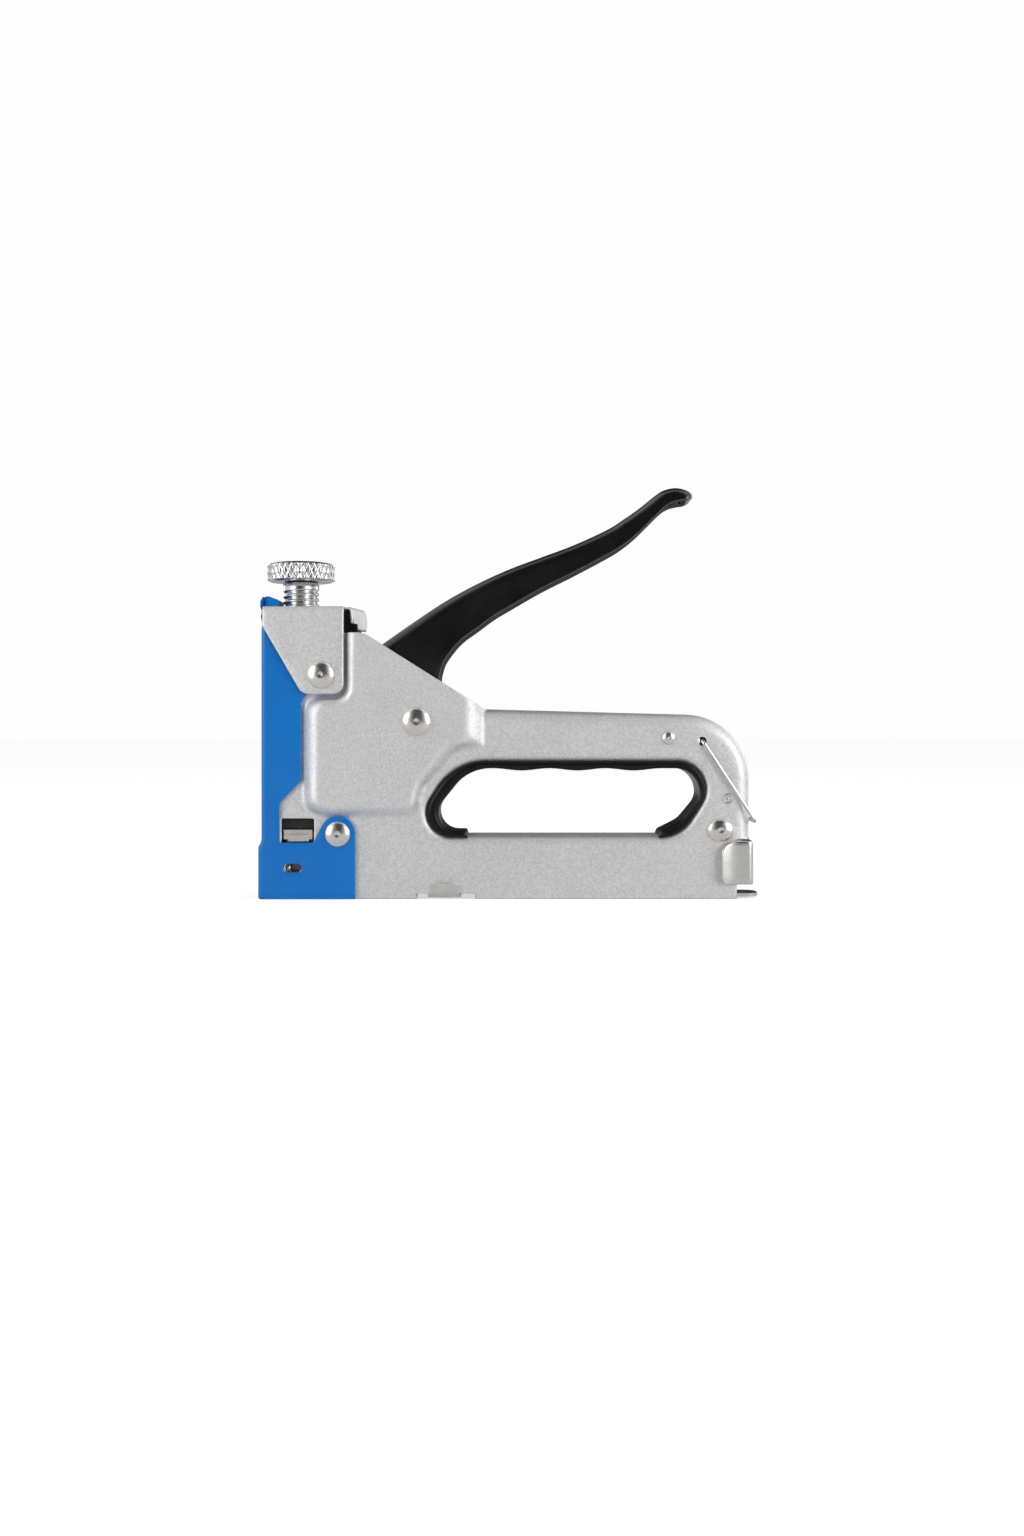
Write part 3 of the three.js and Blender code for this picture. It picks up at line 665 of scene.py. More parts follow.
def make_bracket():
    """One sheet bent over the top. Its flat pattern is measured across from the middle plane."""
    top = bracket_high[2]
    cheek = rounded([
        (-75.9, top), (-75.9, 84, 1.5), (-63.8, 63.1, 3.5), (-50.9, 63.1, 3.5), (-50.9, top),
    ], 6)
    top_half = BRACKET_HALF - BRACKET_BEND
    quarter = BRACKET_BEND * math.pi / 2
    down = top_half + quarter + (top - BRACKET_BEND - cheek[:, 1])
    cheek_flat = np.column_stack([cheek[:, 0], down])[1:-1]
    tab_half, tab_root = 8.0, -50.9
    tab = np.array([(tab_root, tab_half), (-40.2, tab_half), (-39.4, tab_half - 0.9), (-40.8, -2.0),
                    (-44.1, -tab_half + 0.1), (-44.4, -tab_half), (tab_root, -tab_half)])
    left_cheek = cheek_flat * [1, -1]
    pattern = np.vstack([left_cheek, tab[::-1], cheek_flat[::-1]])
    rows = []
    for sign in (-1, 1):
        for share in (0, 0.17, 0.33, 0.5, 0.67, 0.83, 1):
            across = sign * (top_half + quarter * share)
            rows.append(np.column_stack([np.linspace(-75.5, -51.3, 26), np.full(26, across)]))
    for along in np.arange(-50.6, -40.4, 0.4):
        rows.append(np.column_stack([np.full(16, along), np.linspace(-tab_half + 0.6, tab_half - 0.6, 16)]))
    bore = circle(SPRING_X, 0, 5.95, 40)
    flat, triangles, _ = flat_skin(pattern, [bore], 1.6, (0.12, 0.3, 0.5), rows)
    x0, s = flat[:, 0], flat[:, 1]
    drop = roll(outline_distance(flat, split_long(pattern, 1.0)), 0.5)
    drop = np.maximum(drop, roll(outline_distance(flat, bore), 0.3))
    turn = np.clip((np.abs(s) - top_half) / BRACKET_BEND, 0, math.pi / 2)
    beyond = np.maximum(np.abs(s) - top_half - quarter, 0)
    reach = BRACKET_BEND - drop
    y = np.sign(s) * (np.minimum(np.abs(s), top_half) + reach * np.sin(turn))
    z = top - BRACKET_BEND + reach * np.cos(turn) - beyond
    x = x0.copy()
    on_tab = (x0 > tab_root) & (np.abs(s) <= tab_half + 0.01)
    lean = (s[on_tab] + tab_half) / (2 * tab_half)
    run = x0[on_tab] - tab_root
    start = 1.0 + 3.0 * lean
    bend = 1.3
    fold = math.radians(84)
    past = np.maximum(run - start, 0)
    angle = np.clip(past / bend, 0, fold)
    rest = np.maximum(past - bend * fold, 0)
    inner = bend - drop[on_tab]
    x[on_tab] = tab_root + np.minimum(run, start) + inner * np.sin(angle) + rest * math.cos(fold)
    z[on_tab] = top - bend + inner * np.cos(angle) - rest * math.sin(fold)
    piece = make_piece("bracket_sheet", np.column_stack([x, y, z]), triangles, "body", SATIN)
    face_away(piece, Vector((-63, 0, 75)) * MM)
    thicken(piece, BRACKET_SKIN)
    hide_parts("top_bracket")


# ---- handle ----
HANDLE_TOP = [
    (-37.0, 60), (-38.6, 70), (-40, 78.1), (-30, 85.1), (-20, 91.7), (-10, 97.2), (0, 101.8), (10, 105.6),
    (20, 109.4), (30, 114), (35, 117.1), (40, 120.6), (45, 124.6), (47.9, 126.4), (51.5, 127.1),
    (54.8, 126.4),
    (56.7, 125.0), (56.6, 123.9),
]
HANDLE_UNDER = [
    (56.6, 123.9), (55.2, 123.3), (52.6, 122.9), (50, 122.1), (47.2, 120.1), (40, 113), (35, 109), (30, 106),
    (20, 100.7), (10, 95.7), (0, 90), (-5, 87), (-10, 83.3), (-14.2, 80.3), (-16.9, 77.6), (-19.6, 74),
    (-20.9, 71.2), (-21.7, 66.6), (-21.5, 57), (-23.6, 50.2), (-28.5, 47.4), (-33.4, 50.2), (-37.0, 60),
]
HANDLE_SKIN = 1.5
HANDLE_ROLL = 2.6


def handle_half(x):
    """The handle's half width, which shrinks towards its tip."""
    t = np.clip((x + 10) / 34, 0, 1)
    return 9.5 - 1.4 * t * t * (3 - 2 * t)


def make_handle():
    top_line = smooth_line(HANDLE_TOP[2:], 0.6)
    front_line = smooth_line(HANDLE_TOP[:3], 0.6)
    under_line = smooth_line(HANDLE_UNDER, 0.6)
    upper = np.vstack([front_line[:-1], top_line])
    outline = np.vstack([upper[:-1], under_line[:-1]])[::-1]
    rings = (0.15, 0.4, 0.9, 1.6, 2.4)
    flat, triangles, bounds = flat_skin(outline, [circle(*PIVOT, 2.8)], 1.4, rings, edge_step=0.6)
    from_top = edge_distance(flat, upper[:-1], upper[1:])
    under = under_line[2:]
    from_under = edge_distance(flat, under[:-1], under[1:])
    half = handle_half(flat[:, 0])
    flare = 0.35 * np.exp(-from_under / 1.2)
    lower_roll = np.where(from_top > 1.0, roll(from_under, 0.4), 0)
    half = half + flare - roll(from_top, HANDLE_ROLL) - lower_roll
    points, faces = [], []
    count = len(flat)
    for side in (-1, 1):
        points.extend(np.array([x, side * h, z]) for (x, z), h in zip(flat, half))
        offset = 0 if side < 0 else count
        faces.extend(tuple(int(v) + offset for v in f) for f in triangles)
    loop = bounds[0]
    near_top = edge_distance(flat[loop], upper[:-1], upper[1:]) < 0.02
    web_steps = 7
    rows = [loop]
    for k in range(1, web_steps):
        share = k / web_steps
        row = []
        for v in loop:
            x, z = flat[v]
            row.append(len(points))
            points.append(np.array([x, -half[v] * (1 - 2 * share), z]))
        rows.append(row)
    rows.append([v + count for v in loop])
    for upper_row, lower_row in zip(rows, rows[1:]):
        for k in range(len(loop)):
            j = (k + 1) % len(loop)
            if near_top[k] and near_top[j]:
                faces.append((upper_row[k], upper_row[j], lower_row[j], lower_row[k]))
    piece = make_piece("handle_sheet", points, faces, "handle_lever", ENAMEL)
    face_away(piece, Vector((0, 0, 88)) * MM)
    thicken(piece, HANDLE_SKIN)
    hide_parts("handle")


PIVOT = (middle("pivot_rivet")[0], middle("pivot_rivet")[2])


# ---- grip ----
GRIP_HALF = 9.0
GRIP_BEAD = 1.7


def grip_outline():
    """The moulding's band, open along the bottom, with shallow finger waves under its top."""
    low_left, low_right, high_right, high_left = opening_corners(0)
    low_z = low_left[1]
    inner_top, inner_foot, wave = 40.2, 20.8, 0.35
    steps = 36
    waves = []
    for k in range(steps + 1):
        x = 47 - 52 * k / steps
        waves.append((x, inner_top - wave * (1 - math.cos(6 * math.pi * k / steps))))
    return rounded([
        (-12.8, low_z, 0.3), low_left, high_left, high_right, low_right, (45.9, low_z, 0.3),
        (46.8, inner_foot, 0.7), (53.2, 24.0, 7), (59.0, 31.0, 6), (57.8, inner_top, 7.5), *waves,
        (-12.5, inner_top, 14), (-28.1, inner_foot, 5.8), (-13.5, inner_foot, 0.6),
    ], 7)


def make_grip():
    outline = grip_outline()[::-1]
    flat, triangles, bounds = flat_skin(outline, [], 0.9, (0.12, 0.35, 0.75, 1.2, 1.6), edge_step=0.8)
    height = GRIP_HALF - roll(outline_distance(flat, outline), GRIP_BEAD)
    count = len(flat)
    points = [np.array([x, -h, z]) for (x, z), h in zip(flat, height)]
    points += [np.array([x, h, z]) for (x, z), h in zip(flat, height)]
    faces = [tuple(map(int, f)) for f in triangles]
    faces += [tuple(int(v) + count for v in f[::-1]) for f in triangles]
    loop = bounds[0]
    rows = [loop]
    for share in (0.2, 0.4, 0.6, 0.8):
        row = []
        for v in loop:
            row.append(len(points))
            points.append(np.array([flat[v][0], -height[v] * (1 - 2 * share), flat[v][1]]))
        rows.append(row)
    rows.append([v + count for v in loop])
    for a, b in zip(rows, rows[1:]):
        for k in range(len(loop)):
            j = (k + 1) % len(loop)
            faces.append((a[k], b[k], b[j], a[j]))
    piece = make_piece("grip_moulding", points, faces, "body", PLASTIC)
    face_out(piece)
    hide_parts("grip_insert")


# ---- turned pieces ----
def turned_piece(name, profile, centre, axis, body, material, sides=64, squash_z=1.0):
    """A revolved mesh. The profile is (radius, height) and starts and ends on the axis."""
    points, rows = [], []
    for radius, height in profile:
        row = []
        ring = 1 if radius < 1e-6 else sides
        for k in range(ring):
            angle = 2 * math.pi * k / sides
            a, b = radius * math.cos(angle), radius * math.sin(angle) * squash_z
            if axis == "y":
                offset = (a, height, b)
            elif axis == "z":
                offset = (a, b, height)
            else:
                offset = (height, a, b)
            row.append(len(points))
            points.append(np.array(centre) + offset)
        rows.append(row)
    faces = []
    for lower, upper in zip(rows, rows[1:]):
        for k in range(sides):
            j = (k + 1) % sides
            quad = [lower[k % len(lower)], lower[j % len(lower)]]
            quad += [upper[j % len(upper)], upper[k % len(upper)]]
            unique = list(dict.fromkeys(quad))
            if len(unique) > 2:
                faces.append(unique)
    piece = make_piece(name, points, faces, body, material)
    face_out(piece)
    return piece


def rivet_profile(head, shank, seat, height, dimple, end):
    """Half of a rivet, from its far end along the shank to the middle of its domed head."""
    rim = 0.22
    profile = [(shank, end), (shank, seat), (head - rim, seat), (head, seat + rim)]
    steps = 14
    for k in range(steps + 1):
        t = (math.pi / 2) * k / steps
        radius = head * math.cos(t)
        rise = seat + rim + height * math.sin(t) ** 1.15
        if radius < dimple * 1.6:
            rise -= 0.28 * (1 + math.cos(math.pi * min(1, radius / (dimple * 1.6)))) / 2
        profile.append((radius if k < steps else 0, rise))
    return profile


def make_rivets():
    for node, squash in (("pivot_rivet", 1), ("front_rivet", 1), ("rear_rivet", 0.86), ("bar_rivet", 1)):
        low, high = box_mm(node)
        head = (high[0] - low[0]) / 2
        seat = {"pivot_rivet": BULGE_HALF, "front_rivet": COVER_HALF}.get(node, PANEL_HALF)
        dimple = 0.55 if head > 3 else 0.01
        half = rivet_profile(head, head * 0.5, seat, high[1] - seat - 0.3, dimple, 0)
        whole = [(r, -h) for r, h in half[::-1]] + half[1:]
        wide = 1.06 if node == "rear_rivet" else 1
        whole = [(r * wide, h) for r, h in whole]
        name = node.replace("_rivet", "_rivet_head")
        centre = ((low[0] + high[0]) / 2, 0, (low[2] + high[2]) / 2)
        piece = turned_piece(name, whole, centre, "y", "body", NICKEL, squash_z=squash)
        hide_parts(node)
    for side, node in ((-1, "bracket_rivet_left"), (1, "bracket_rivet_right")):
        low, high = box_mm(node)
        head = (high[0] - low[0]) / 2
        tall = max(abs(low[1]), abs(high[1])) - BRACKET_HALF - 0.3
        half = [(0, 7.2)] + rivet_profile(head, 2, BRACKET_HALF, tall, 0.55, 7.2)
        place = ((low[0] + high[0]) / 2, 0, (low[2] + high[2]) / 2)
        piece = turned_piece(node + "_head", [(r, side * h) for r, h in half], place, "y", "body", NICKEL)
        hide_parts(node)


# ---- knob and screw ----
def make_knob():
    """A diamond-knurled knob with chamfered rims and a slightly domed top."""
    foot, crown = knob_low[2], knob_high[2]
    grip = (knob_high[0] - knob_low[0]) / 2
    sides, diamonds, deep = 340, 34, 0.5
    band_low, band_high = foot + 0.55, crown - 1.05
    profile = [(4.4, foot + 2.9), (4.4, foot + 0.2), (4.7, foot), (8.6, foot), (grip - 0.9, foot + 0.12)]
    profile += [(grip - deep * 0.9, foot + 0.42)]
    band_rows = 17
    profile += [(grip, band_low + (band_high - band_low) * k / (band_rows - 1)) for k in range(band_rows)]
    profile += [(grip - deep, band_high + 0.22), (grip - 0.95, crown - 0.45), (grip - 2.2, crown - 0.18),
                (grip - 5, crown - 0.05), (0, crown)]
    points, rows = [], []
    for radius, height in profile:
        row = []
        for k in range(sides if radius > 0 else 1):
            angle = 2 * math.pi * k / sides
            r = radius
            if band_low - 1e-6 <= height <= band_high + 1e-6:
                rise = (height - band_low) / (band_high - band_low)
                shift = rise * 1.0
                one = abs(((angle * diamonds / (2 * math.pi) + shift) % 1) - 0.5) * 2
                two = abs(((angle * diamonds / (2 * math.pi) - shift) % 1) - 0.5) * 2
                r -= deep * (1 - min(one, two) ** 0.8) if min(one, two) < 1 else 0
            row.append(len(points))
            points.append(np.array([SPRING_X + r * math.cos(angle), r * math.sin(angle), height]))
        rows.append(row)
    faces = []
    for lower, upper in zip(rows, rows[1:]):
        for k in range(sides):
            j = (k + 1) % sides
            quad = [lower[k], lower[j], upper[j % len(upper)], upper[k % len(upper)]]
            faces.append(list(dict.fromkeys(quad)))
    faces.append(rows[0][::-1])
    piece = make_piece("knob_knurled", points, faces, "adjuster", ZINC)
    face_out(piece)
    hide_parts("adjusting_knob")


def make_screw():
    """The threaded shank: a helical V thread with a plain neck under the knob."""
    foot, top = screw_low[2], screw_high[2]
    radius = (screw_high[0] - screw_low[0]) / 2
    pitch, depth, neck = 1.75, 0.85, 95.9
    sides, per_pitch = 72, 10
    heights = np.arange(foot, neck, pitch / per_pitch)
    points, rows = [], []
    for height in heights:
        row = []
        for k in range(sides):
            angle = 2 * math.pi * k / sides
            phase = ((height / pitch) - k / sides) % 1
            cut = depth * max(0.0, 1 - abs(phase - 0.5) / 0.42)
            fade = min(1, (height - foot + 0.2) / 0.8, max(0, (neck - height) / 0.5))
            r = radius - cut * fade - (0.6 if height == heights[0] else 0)
            row.append(len(points))
            points.append(np.array([SPRING_X + r * math.cos(angle), r * math.sin(angle), height]))
        rows.append(row)
    for r, height in ((radius, neck + 0.1), (radius, 97.9), (radius - 0.25, 98.1), (4.1, 98.1), (4.1, top)):
        row = []
        for k in range(sides):
            angle = 2 * math.pi * k / sides
            row.append(len(points))
            points.append(np.array([SPRING_X + r * math.cos(angle), r * math.sin(angle), height]))
        rows.append(row)
    faces = [rows[0][::-1], rows[-1]]
    for lower, upper in zip(rows, rows[1:]):
        for k in range(sides):
            j = (k + 1) % sides
            faces.append((lower[k], lower[j], upper[j], upper[k]))
    piece = make_piece("screw_thread", points, faces, "adjuster", ZINC)
    face_out(piece)
    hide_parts("adjusting_screw")


# ---- wire and springs ----
def tube(name, path, radius, body, material, sides=14):
    """A round wire along a path, closed at both ends."""
    path = np.array(path, float)
    tangents = np.gradient(path, axis=0)
    tangents /= np.linalg.norm(tangents, axis=1)[:, None]
    side = np.cross(tangents[0], (0.3, 0.5, 0.8))
    points, rows = [], []
    for centre, tangent in zip(path, tangents):
        side = side - tangent * (side @ tangent)
        side /= np.linalg.norm(side)
        other = np.cross(tangent, side)
        row = []
        for k in range(sides):
            angle = 2 * math.pi * k / sides
            row.append(len(points))
            points.append(centre + radius * (side * math.cos(angle) + other * math.sin(angle)))
        rows.append(row)
    faces = [rows[0][::-1], rows[-1]]
    for lower, upper in zip(rows, rows[1:]):
        for k in range(sides):
            j = (k + 1) % sides
            faces.append((lower[k], lower[j], upper[j], upper[k]))
    piece = make_piece(name, points, faces, body, material)
    face_out(piece)
    return piece


def bent_path(corners, radius, spacing):
    """A polyline in space with an arc of a radius at each inner corner."""
    corners = [np.array(c, float) for c in corners]
    path = [corners[0]]
    for before, here, after in zip(corners, corners[1:], corners[2:]):
        back = (before - here) / np.linalg.norm(before - here)
        ahead = (after - here) / np.linalg.norm(after - here)
        half = math.acos(max(-1, min(1, float(back @ ahead)))) / 2
        start, end = here + back * radius / math.tan(half), here + ahead * radius / math.tan(half)
        bisector = back + ahead
        centre = here + bisector / np.linalg.norm(bisector) * radius / math.sin(half)
        for k in range(9):
            t = k / 8
            spoke = (start - centre) * (1 - t) + (end - centre) * t
            path.append(centre + spoke / np.linalg.norm(spoke) * radius)
    path.append(corners[-1])
    fine = []
    for a, b in zip(path, path[1:]):
        steps = max(1, math.ceil(float(np.linalg.norm(b - a)) / spacing))
        fine.extend(a + (b - a) * k / steps for k in range(steps))
    fine.append(path[-1])
    return fine


def make_bail():
    wire = 0.6
    low, high = box_mm("wire_bail")
    leg = high[1] - wire
    hole_x, hole_z = bail_hole()
    bar_x, bar_z = high[0] - wire, low[2] + wire
    path = bent_path([
        (hole_x, -6.5, hole_z), (hole_x, -leg, hole_z), (bar_x, -leg, bar_z),
        (bar_x, leg, bar_z), (hole_x, leg, hole_z), (hole_x, 6.5, hole_z),
    ], 1.2, 1.0)
    piece = tube("bail_wire", path, wire, "bail", POLISHED)
    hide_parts("wire_bail")


def helix(centre, axis, radius, length, turns, steps_per_turn=28):
    path = []
    steps = round(turns * steps_per_turn)
    for k in range(steps + 1):
        angle = 2 * math.pi * turns * k / steps
        a, b, run = radius * math.cos(angle), radius * math.sin(angle), length * k / steps
        offset = {"x": (run, a, b), "y": (a, run, b), "z": (a, b, run)}[axis]
        path.append(np.array(centre) + offset)
    return path


def make_springs():
    low, high = box_mm("mainspring")
    wire = 0.9
    path = helix((SPRING_X, 0, low[2] + wire), "z", 4.0, high[2] - low[2] - 2 * wire, 7)
    main = tube("mainspring_coil", path, wire, "adjuster_seat", SPRING, 10)
    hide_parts("mainspring")
    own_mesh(main)

    low, high = box_mm("pusher_spring")
    wire = 0.25
    mid_z = (low[2] + high[2]) / 2
    path = helix((low[0] + wire, 0, mid_z), "x", 1.4, high[0] - low[0] - 2 * wire, 46, 12)
    push = tube("pusher_spring_coil", path, wire, "magazine_drawer", SPRING, 6)
    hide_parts("pusher_spring")
    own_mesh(push)

    low, high = box_mm("handle_return_spring")
    path = helix((PIVOT[0], low[1] + 0.6, PIVOT[1]), "y", 4.4, high[1] - low[1] - 1.2, 3)
    back = tube("return_spring_coil", path, 0.5, "handle_lever", SPRING, 10)
    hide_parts("handle_return_spring")


# ---- small pressed pieces ----
def make_latch():
    """The pull-out magazine's end cap: two flared cheeks and a rounded rear wall, bent from one sheet."""
    low, high = box_mm("rear_latch")
    half = high[1]
    bend = 1.6
    cheek = rounded([
        (high[0], low[2]), (high[0], high[2]), (low[0], high[2], 4.2), (low[0], low[2], 2.2),
    ], 9)
    rear_half = half - bend
    quarter = bend * math.pi / 2
    around = rear_half + quarter + (high[0] - bend - cheek[:, 0])
    keep = cheek[:, 0] < high[0] - 0.01
    side = np.column_stack([around, cheek[:, 1]])[keep]
    pattern = np.vstack([side[::-1], side * [-1, 1]])
    rows = []
    for sign in (-1, 1):
        for share in (0, 0.17, 0.33, 0.5, 0.67, 0.83, 1):
            across = sign * (rear_half + quarter * share)
            rows.append(np.column_stack([np.full(12, across), np.linspace(low[2] + 0.6, high[2] - 0.6, 12)]))
    flat, triangles, _ = flat_skin(pattern, [], 0.9, (0.12, 0.3, 0.5), rows)
    s, z = flat[:, 0], flat[:, 1]
    drop = roll(outline_distance(flat, split_long(pattern, 0.8)), 0.45)
    turn = np.clip((np.abs(s) - rear_half) / bend, 0, math.pi / 2)
    beyond = np.maximum(np.abs(s) - rear_half - quarter, 0)
    reach = bend - drop
    flare = 1.3 * np.clip((beyond - 3.2) / 5.5, 0, 1) ** 1.6
    x = high[0] - bend + reach * np.cos(turn) - beyond
    y = np.sign(s) * (np.minimum(np.abs(s), rear_half) + reach * np.sin(turn) + flare)
    piece = make_piece("latch_cap", np.column_stack([x, y, z]), triangles, "magazine_drawer", POLISHED)
    face_away(piece, Vector((70, 0, 11)) * MM)
    thicken(piece, 1.0)
    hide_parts("rear_latch")


def make_clip():
    """The spring clip under the rail: a flat strip with a bowed ear on each side."""
    low, high = box_mm("rail_clip")
    wide, half = high[0] - low[0], high[1]
    floor_z = low[2] + 0.1
    points, faces = [], []
    across, tall = 25, 9
    for side in (-1, 1):
        first = len(points)
        for i in range(across):
            t = i / (across - 1)
            x = low[0] + wide * t
            top = high[2] - 0.7 * t - 0.35 * (abs(2 * t - 1) ** 6)
            bow = 1.5 * (1 - abs(2 * t - 1) ** 1.8)
            for j in range(tall):
                share = j / (tall - 1)
                z = floor_z + (top - floor_z) * share
                tuck = 0.8 * (1 - share) ** 3
                points.append(np.array([x, side * (half - 1.5 + bow * (0.4 + 0.6 * share) - tuck), z]))
        for i in range(across - 1):
            for j in range(tall - 1):
                a = first + i * tall + j
                quad = (a, a + tall, a + tall + 1, a + 1)
                faces.append(quad if side < 0 else quad[::-1])
    near, far = 0, across * tall
    strip = 8
    for i in range(across - 1):
        last = [near + i * tall, near + (i + 1) * tall]
        for k in range(1, strip + 1):
            if k == strip:
                new = [far + i * tall, far + (i + 1) * tall]
            else:
                new = []
                for v in (near + i * tall, near + (i + 1) * tall):
                    p = points[v] * (1, 1 - 2 * k / strip, 1)
                    new.append(len(points))
                    points.append(p)
            faces.append((last[0], new[0], new[1], last[1]))
            last = new
    piece = make_piece("clip_spring", points, faces, "body", POLISHED)
    change_mesh(piece.data, lambda mesh: bmesh.ops.remove_doubles(mesh, verts=mesh.verts, dist=1e-6))
    face_away(piece, Vector((-20, 0, 8)) * MM)
    thicken(piece, 0.8)
    soften(piece, 0.2)
    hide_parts("rail_clip")


def make_rear_pin():
    """The staked stop pin behind the opening, seen as a small ring with a dimple."""
    x, z = middle("rear_pin")[0], middle("rear_pin")[2]
    profile = [(0, 0), (0.9, 0), (0.9, 8.3), (1.5, 8.4), (1.58, 8.75), (1.35, 8.9), (1.15, 8.85), (1.08, 7.4),
               (0.5, 7.4), (0.45, 8.6), (0.3, 8.7), (0, 8.72)]
    whole = [(r, -h) for r, h in profile[:0:-1]] + profile[1:]
    piece = turned_piece("stop_pin", whole, (x, 0, z), "y", "body", ZINC, 32)
    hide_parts("rear_pin")


def make_nose_block():
    """The steel block under the rubber bumper, with a proud lip and a tongue, seen through the window."""
    low, high = box_mm("nose_guide")
    foot = low[2] + 0.6
    parts = (
        ("nose_block", low[0], high[0], foot, high[2], high[1], 0.3),
        ("nose_block_lip", low[0], high[0], high[2] - 1.1, high[2], high[1] + 0.25, 0.2),
        ("nose_block_tongue", low[0] + 1.4, high[0] - 1.1, low[2], high[2] - 1.5, high[1] + 0.15, 0.15),
    )
    for name, left, right, bottom, top, half, edge in parts:
        corners = ((left, bottom), (right, bottom), (right, top), (left, top))
        outline = rounded([(x, z, edge) for x, z in corners], 30)
        piece = solid_plate(name, outline, -half, half, "body", NICKEL, edge * 0.7)
        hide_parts("nose_guide")


def make_leg_guides():
    """The plates beside the staple channel, each with a stadium hole behind the cover's slot."""
    for side, node in ((-1, "left_leg_guide"), (1, "right_leg_guide")):
        low, high = box_mm(node)
        thickness = high[1] - low[1]
        outline = rounded([(low[0], low[2], 0.4), (high[0], low[2], 0.4), (high[0], high[2], 0.4),
                           (low[0], high[2], 0.4)], 30)
        hole = rounded([(-69.2, 8.4, 1.0), (-64.4, 8.4, 1.0), (-64.4, 10.6, 1.0), (-69.2, 10.6, 1.0)], 15)
        flat, triangles, _ = flat_skin(outline, [hole], 1.5, (0.12, 0.3))
        drop = roll(np.minimum(outline_distance(flat, outline), outline_distance(flat, hole)), 0.25)
        outer = max(abs(low[1]), abs(high[1]))
        points = [np.array([x, side * (outer - d), z]) for (x, z), d in zip(flat, drop)]
        piece = make_piece(node + "_plate", points, triangles, "body", POLISHED)
        face_right_way(piece, side)
        thicken(piece, thickness)
        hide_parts(node)
        stud = [(0, 8.2), (0.55, 8.2), (0.75, 8.4), (0.75, 10.6), (0.55, 10.8), (0, 10.8)]
        stud_place = (-68.2, side * (outer - 0.1), 0)
        turned_piece(node + "_stud", stud, stud_place, "z", "body", NICKEL, 24)


# ---- CAD nodes that stay, with their finish ----
KEPT = {
    "spring_guide": (PLASTIC, 0.3),
    "adjuster_nut": (ZINC, 0.15),
    "spring_seat": (ZINC, 0.2),
    "hammer": (ZINC, 0.4),
    "lifter": (ZINC, 0.3),
    "pivot_bush": (ZINC, 0.15),
    "front_spacer": (ZINC, 0.15),
    "rear_spacer": (ZINC, 0.15),
    "bar_spacer": (ZINC, 0.12),
    "driver_blade": (POLISHED, 0.1),
    "magazine_rail": (POLISHED, 0.2),
    # Painted shade: the pusher's dark grey stands in for the shade inside the cover's slot.
    "staple_pusher": (SLOT_SHADE_DARK_STEEL, 0.2),
    "guide_rod": (POLISHED, 0.15),
    "rubber_bumper": (RUBBER, 0.4),
}


def finish_kept_nodes():
    for node, (material, edge) in KEPT.items():
        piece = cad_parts[node]
        piece.data.materials.clear()
        piece.data.materials.append(material)
        piece.data.polygons.foreach_set("use_smooth", [True] * len(piece.data.polygons))
        soften(piece, edge, segments=2, angle=30)


# ---- stage ----
BACKDROP_WHITE = 0.99
FLOOR_GLOW = 0.62


def camera_only(nodes):
    """One for rays that the camera sends, nought for reflections and bounces."""
    return nodes.new("ShaderNodeLightPath").outputs["Is Camera Ray"]


def bright_aside(nodes, links, value, near, far, dim, bright):
    """Brightness that grows from dim to bright as a value's size goes from near to far."""
    size = nodes.new("ShaderNodeMath")
    size.operation = "ABSOLUTE"
    links.new(value, size.inputs[0])
    grow = nodes.new("ShaderNodeMapRange")
    grow.interpolation_type = "SMOOTHSTEP"
    grow.inputs["From Min"].default_value = near
    grow.inputs["From Max"].default_value = far
    grow.inputs["To Min"].default_value = dim
    grow.inputs["To Max"].default_value = bright
    links.new(size.outputs["Value"], grow.inputs["Value"])
    return grow.outputs["Result"]


def make_stage():
    """A plain pale floor. It also glows evenly to the camera, so that it meets the backdrop's white."""
    size, drop = 6.0, 0.0002
    corners = [(-size, -size, -drop), (size, -size, -drop), (size, size, -drop), (-size, size, -drop)]
    mesh = bpy.data.meshes.new("floor")
    mesh.from_pydata(corners, [], [(0, 1, 2, 3)])
    floor = bpy.data.objects.new("floor", mesh)
    bpy.context.scene.collection.objects.link(floor)
    material, nodes, links, shader = new_material("pale_floor", (0.8, 0.8, 0.8), 0.0, 0.9)
    shader.inputs["Specular IOR Level"].default_value = 0.0
    shader.inputs["Emission Color"].default_value = (1, 1, 1, 1)
    glow = nodes.new("ShaderNodeMix")
    links.new(camera_only(nodes), glow.inputs["Factor"])
    glow.inputs["A"].default_value = 0.0
    glow.inputs["B"].default_value = FLOOR_GLOW
    links.new(glow.outputs["Result"], shader.inputs["Emission Strength"])
    floor.data.materials.append(material)


def add_light(name, place, target, size, power, height=None):
    lamp = bpy.data.lights.new(name, "AREA")
    lamp.shape = "RECTANGLE"
    lamp.size = size
    lamp.size_y = height or size
    lamp.energy = power
    light = bpy.data.objects.new(name, lamp)
    light.location = place
    light.rotation_euler = (Vector(target) - Vector(place)).to_track_quat("-Z", "Y").to_euler()
    light.visible_camera = False
    bpy.context.scene.collection.objects.link(light)


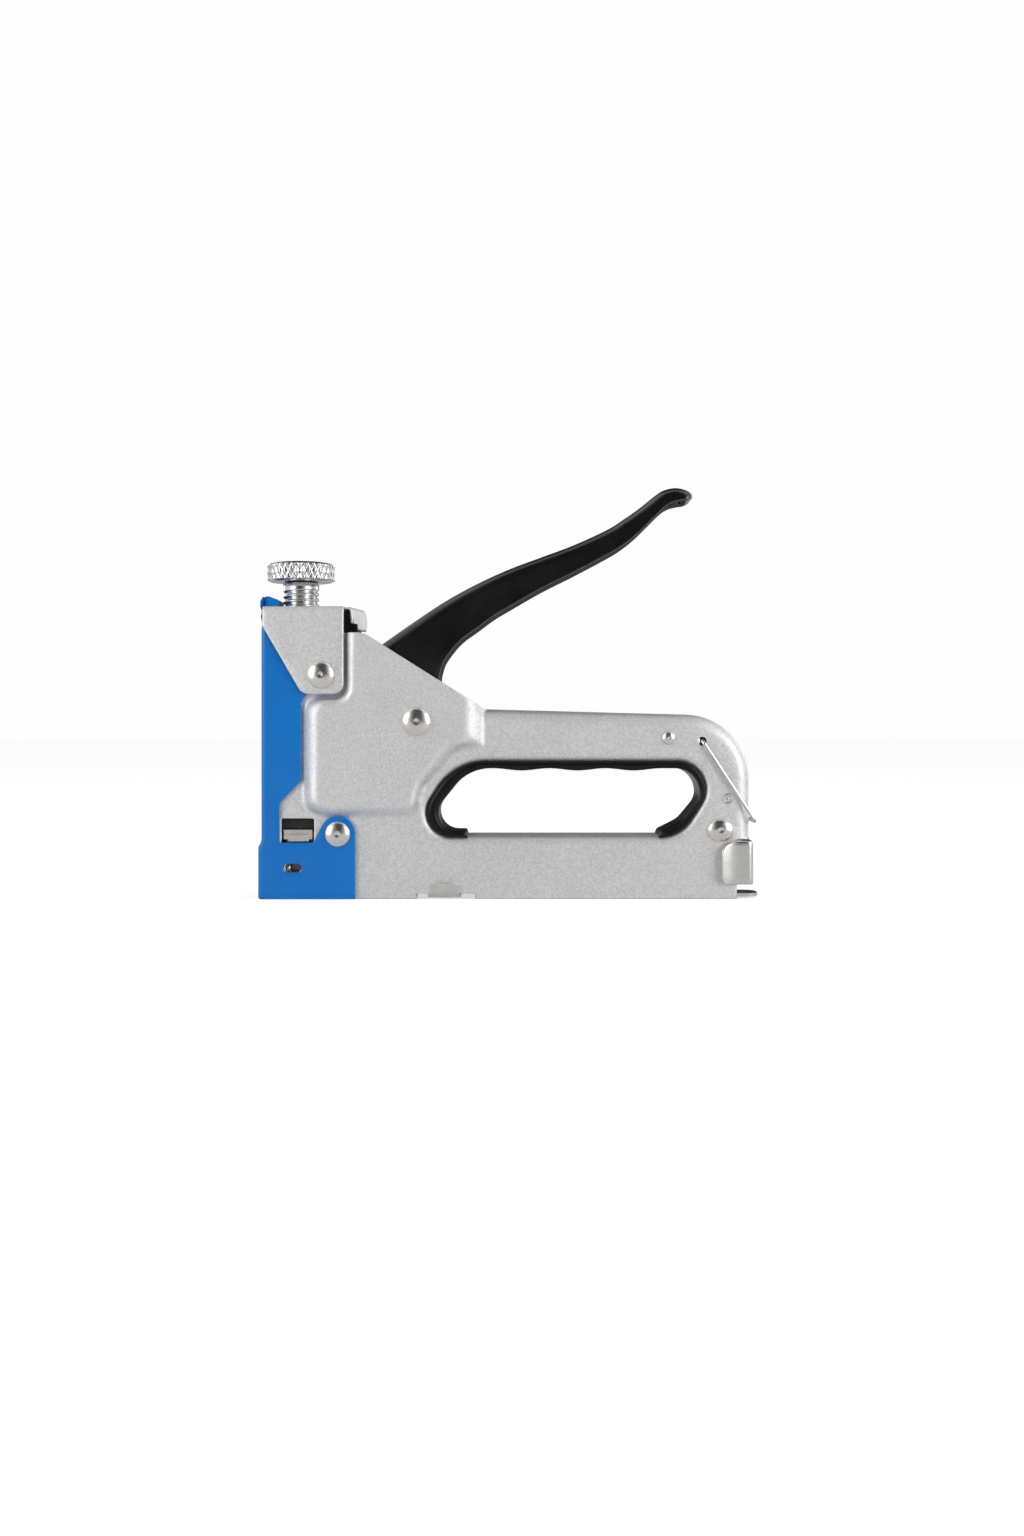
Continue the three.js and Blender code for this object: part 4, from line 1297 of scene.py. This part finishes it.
def make_lights():
    """Tall soft sources at the four corners, a dim one above, and a studio dark in front and behind."""
    target = (0, 0, 0.06)
    add_light("left_softbox", (-0.6, -0.5, 0.16), target, 0.35, 2.0, 0.7)
    add_light("right_softbox", (0.6, -0.5, 0.16), target, 0.35, 2.5, 0.7)
    add_light("rear_left_softbox", (-0.6, 0.55, 0.16), target, 0.35, 0.7, 0.7)
    add_light("rear_right_softbox", (0.6, 0.55, 0.16), target, 0.35, 0.7, 0.7)
    add_light("top_softbox", (0, -0.15, 0.8), target, 0.9, 0.75, 0.5)
    world = bpy.data.worlds.new("studio")
    world.use_nodes = True
    nodes, links = world.node_tree.nodes, world.node_tree.links
    direction = nodes.new("ShaderNodeTexCoord")
    parts = nodes.new("ShaderNodeSeparateXYZ")
    links.new(direction.outputs["Generated"], parts.inputs["Vector"])
    sides = bright_aside(nodes, links, parts.outputs["X"], 0.2, 0.62, 0.04, 0.85)
    background = nodes["Background"]
    background.inputs["Color"].default_value = (1, 1, 1, 1)
    links.new(sides, background.inputs["Strength"])
    white = nodes.new("ShaderNodeBackground")
    white.inputs["Color"].default_value = (1, 1, 1, 1)
    white.inputs["Strength"].default_value = BACKDROP_WHITE
    mix = nodes.new("ShaderNodeMixShader")
    links.new(camera_only(nodes), mix.inputs["Fac"])
    links.new(background.outputs["Background"], mix.inputs[1])
    links.new(white.outputs["Background"], mix.inputs[2])
    links.new(mix.outputs["Shader"], nodes["World Output"].inputs["Surface"])
    bpy.context.scene.world = world


def make_camera():
    data = bpy.data.cameras.new("camera")
    data.lens = 35.84
    data.sensor_width = 36
    data.sensor_fit = "AUTO"
    data.shift_y = -0.0267
    data.clip_start = 0.01
    data.clip_end = 50
    camera = bpy.data.objects.new("camera", data)
    camera.location = (0.00077, -0.480, 0.05298)
    camera.rotation_euler = (math.radians(90), 0, 0)
    bpy.context.scene.collection.objects.link(camera)
    bpy.context.scene.camera = camera


bpy.context.scene.view_settings.view_transform = "Standard"
make_camera()
make_stage()
make_lights()
make_shells()
make_cover()
make_bracket()
make_handle()
make_grip()
make_rivets()
make_knob()
make_screw()
make_bail()
make_springs()
make_latch()
make_clip()
make_rear_pin()
make_nose_block()
make_leg_guides()
finish_kept_nodes()
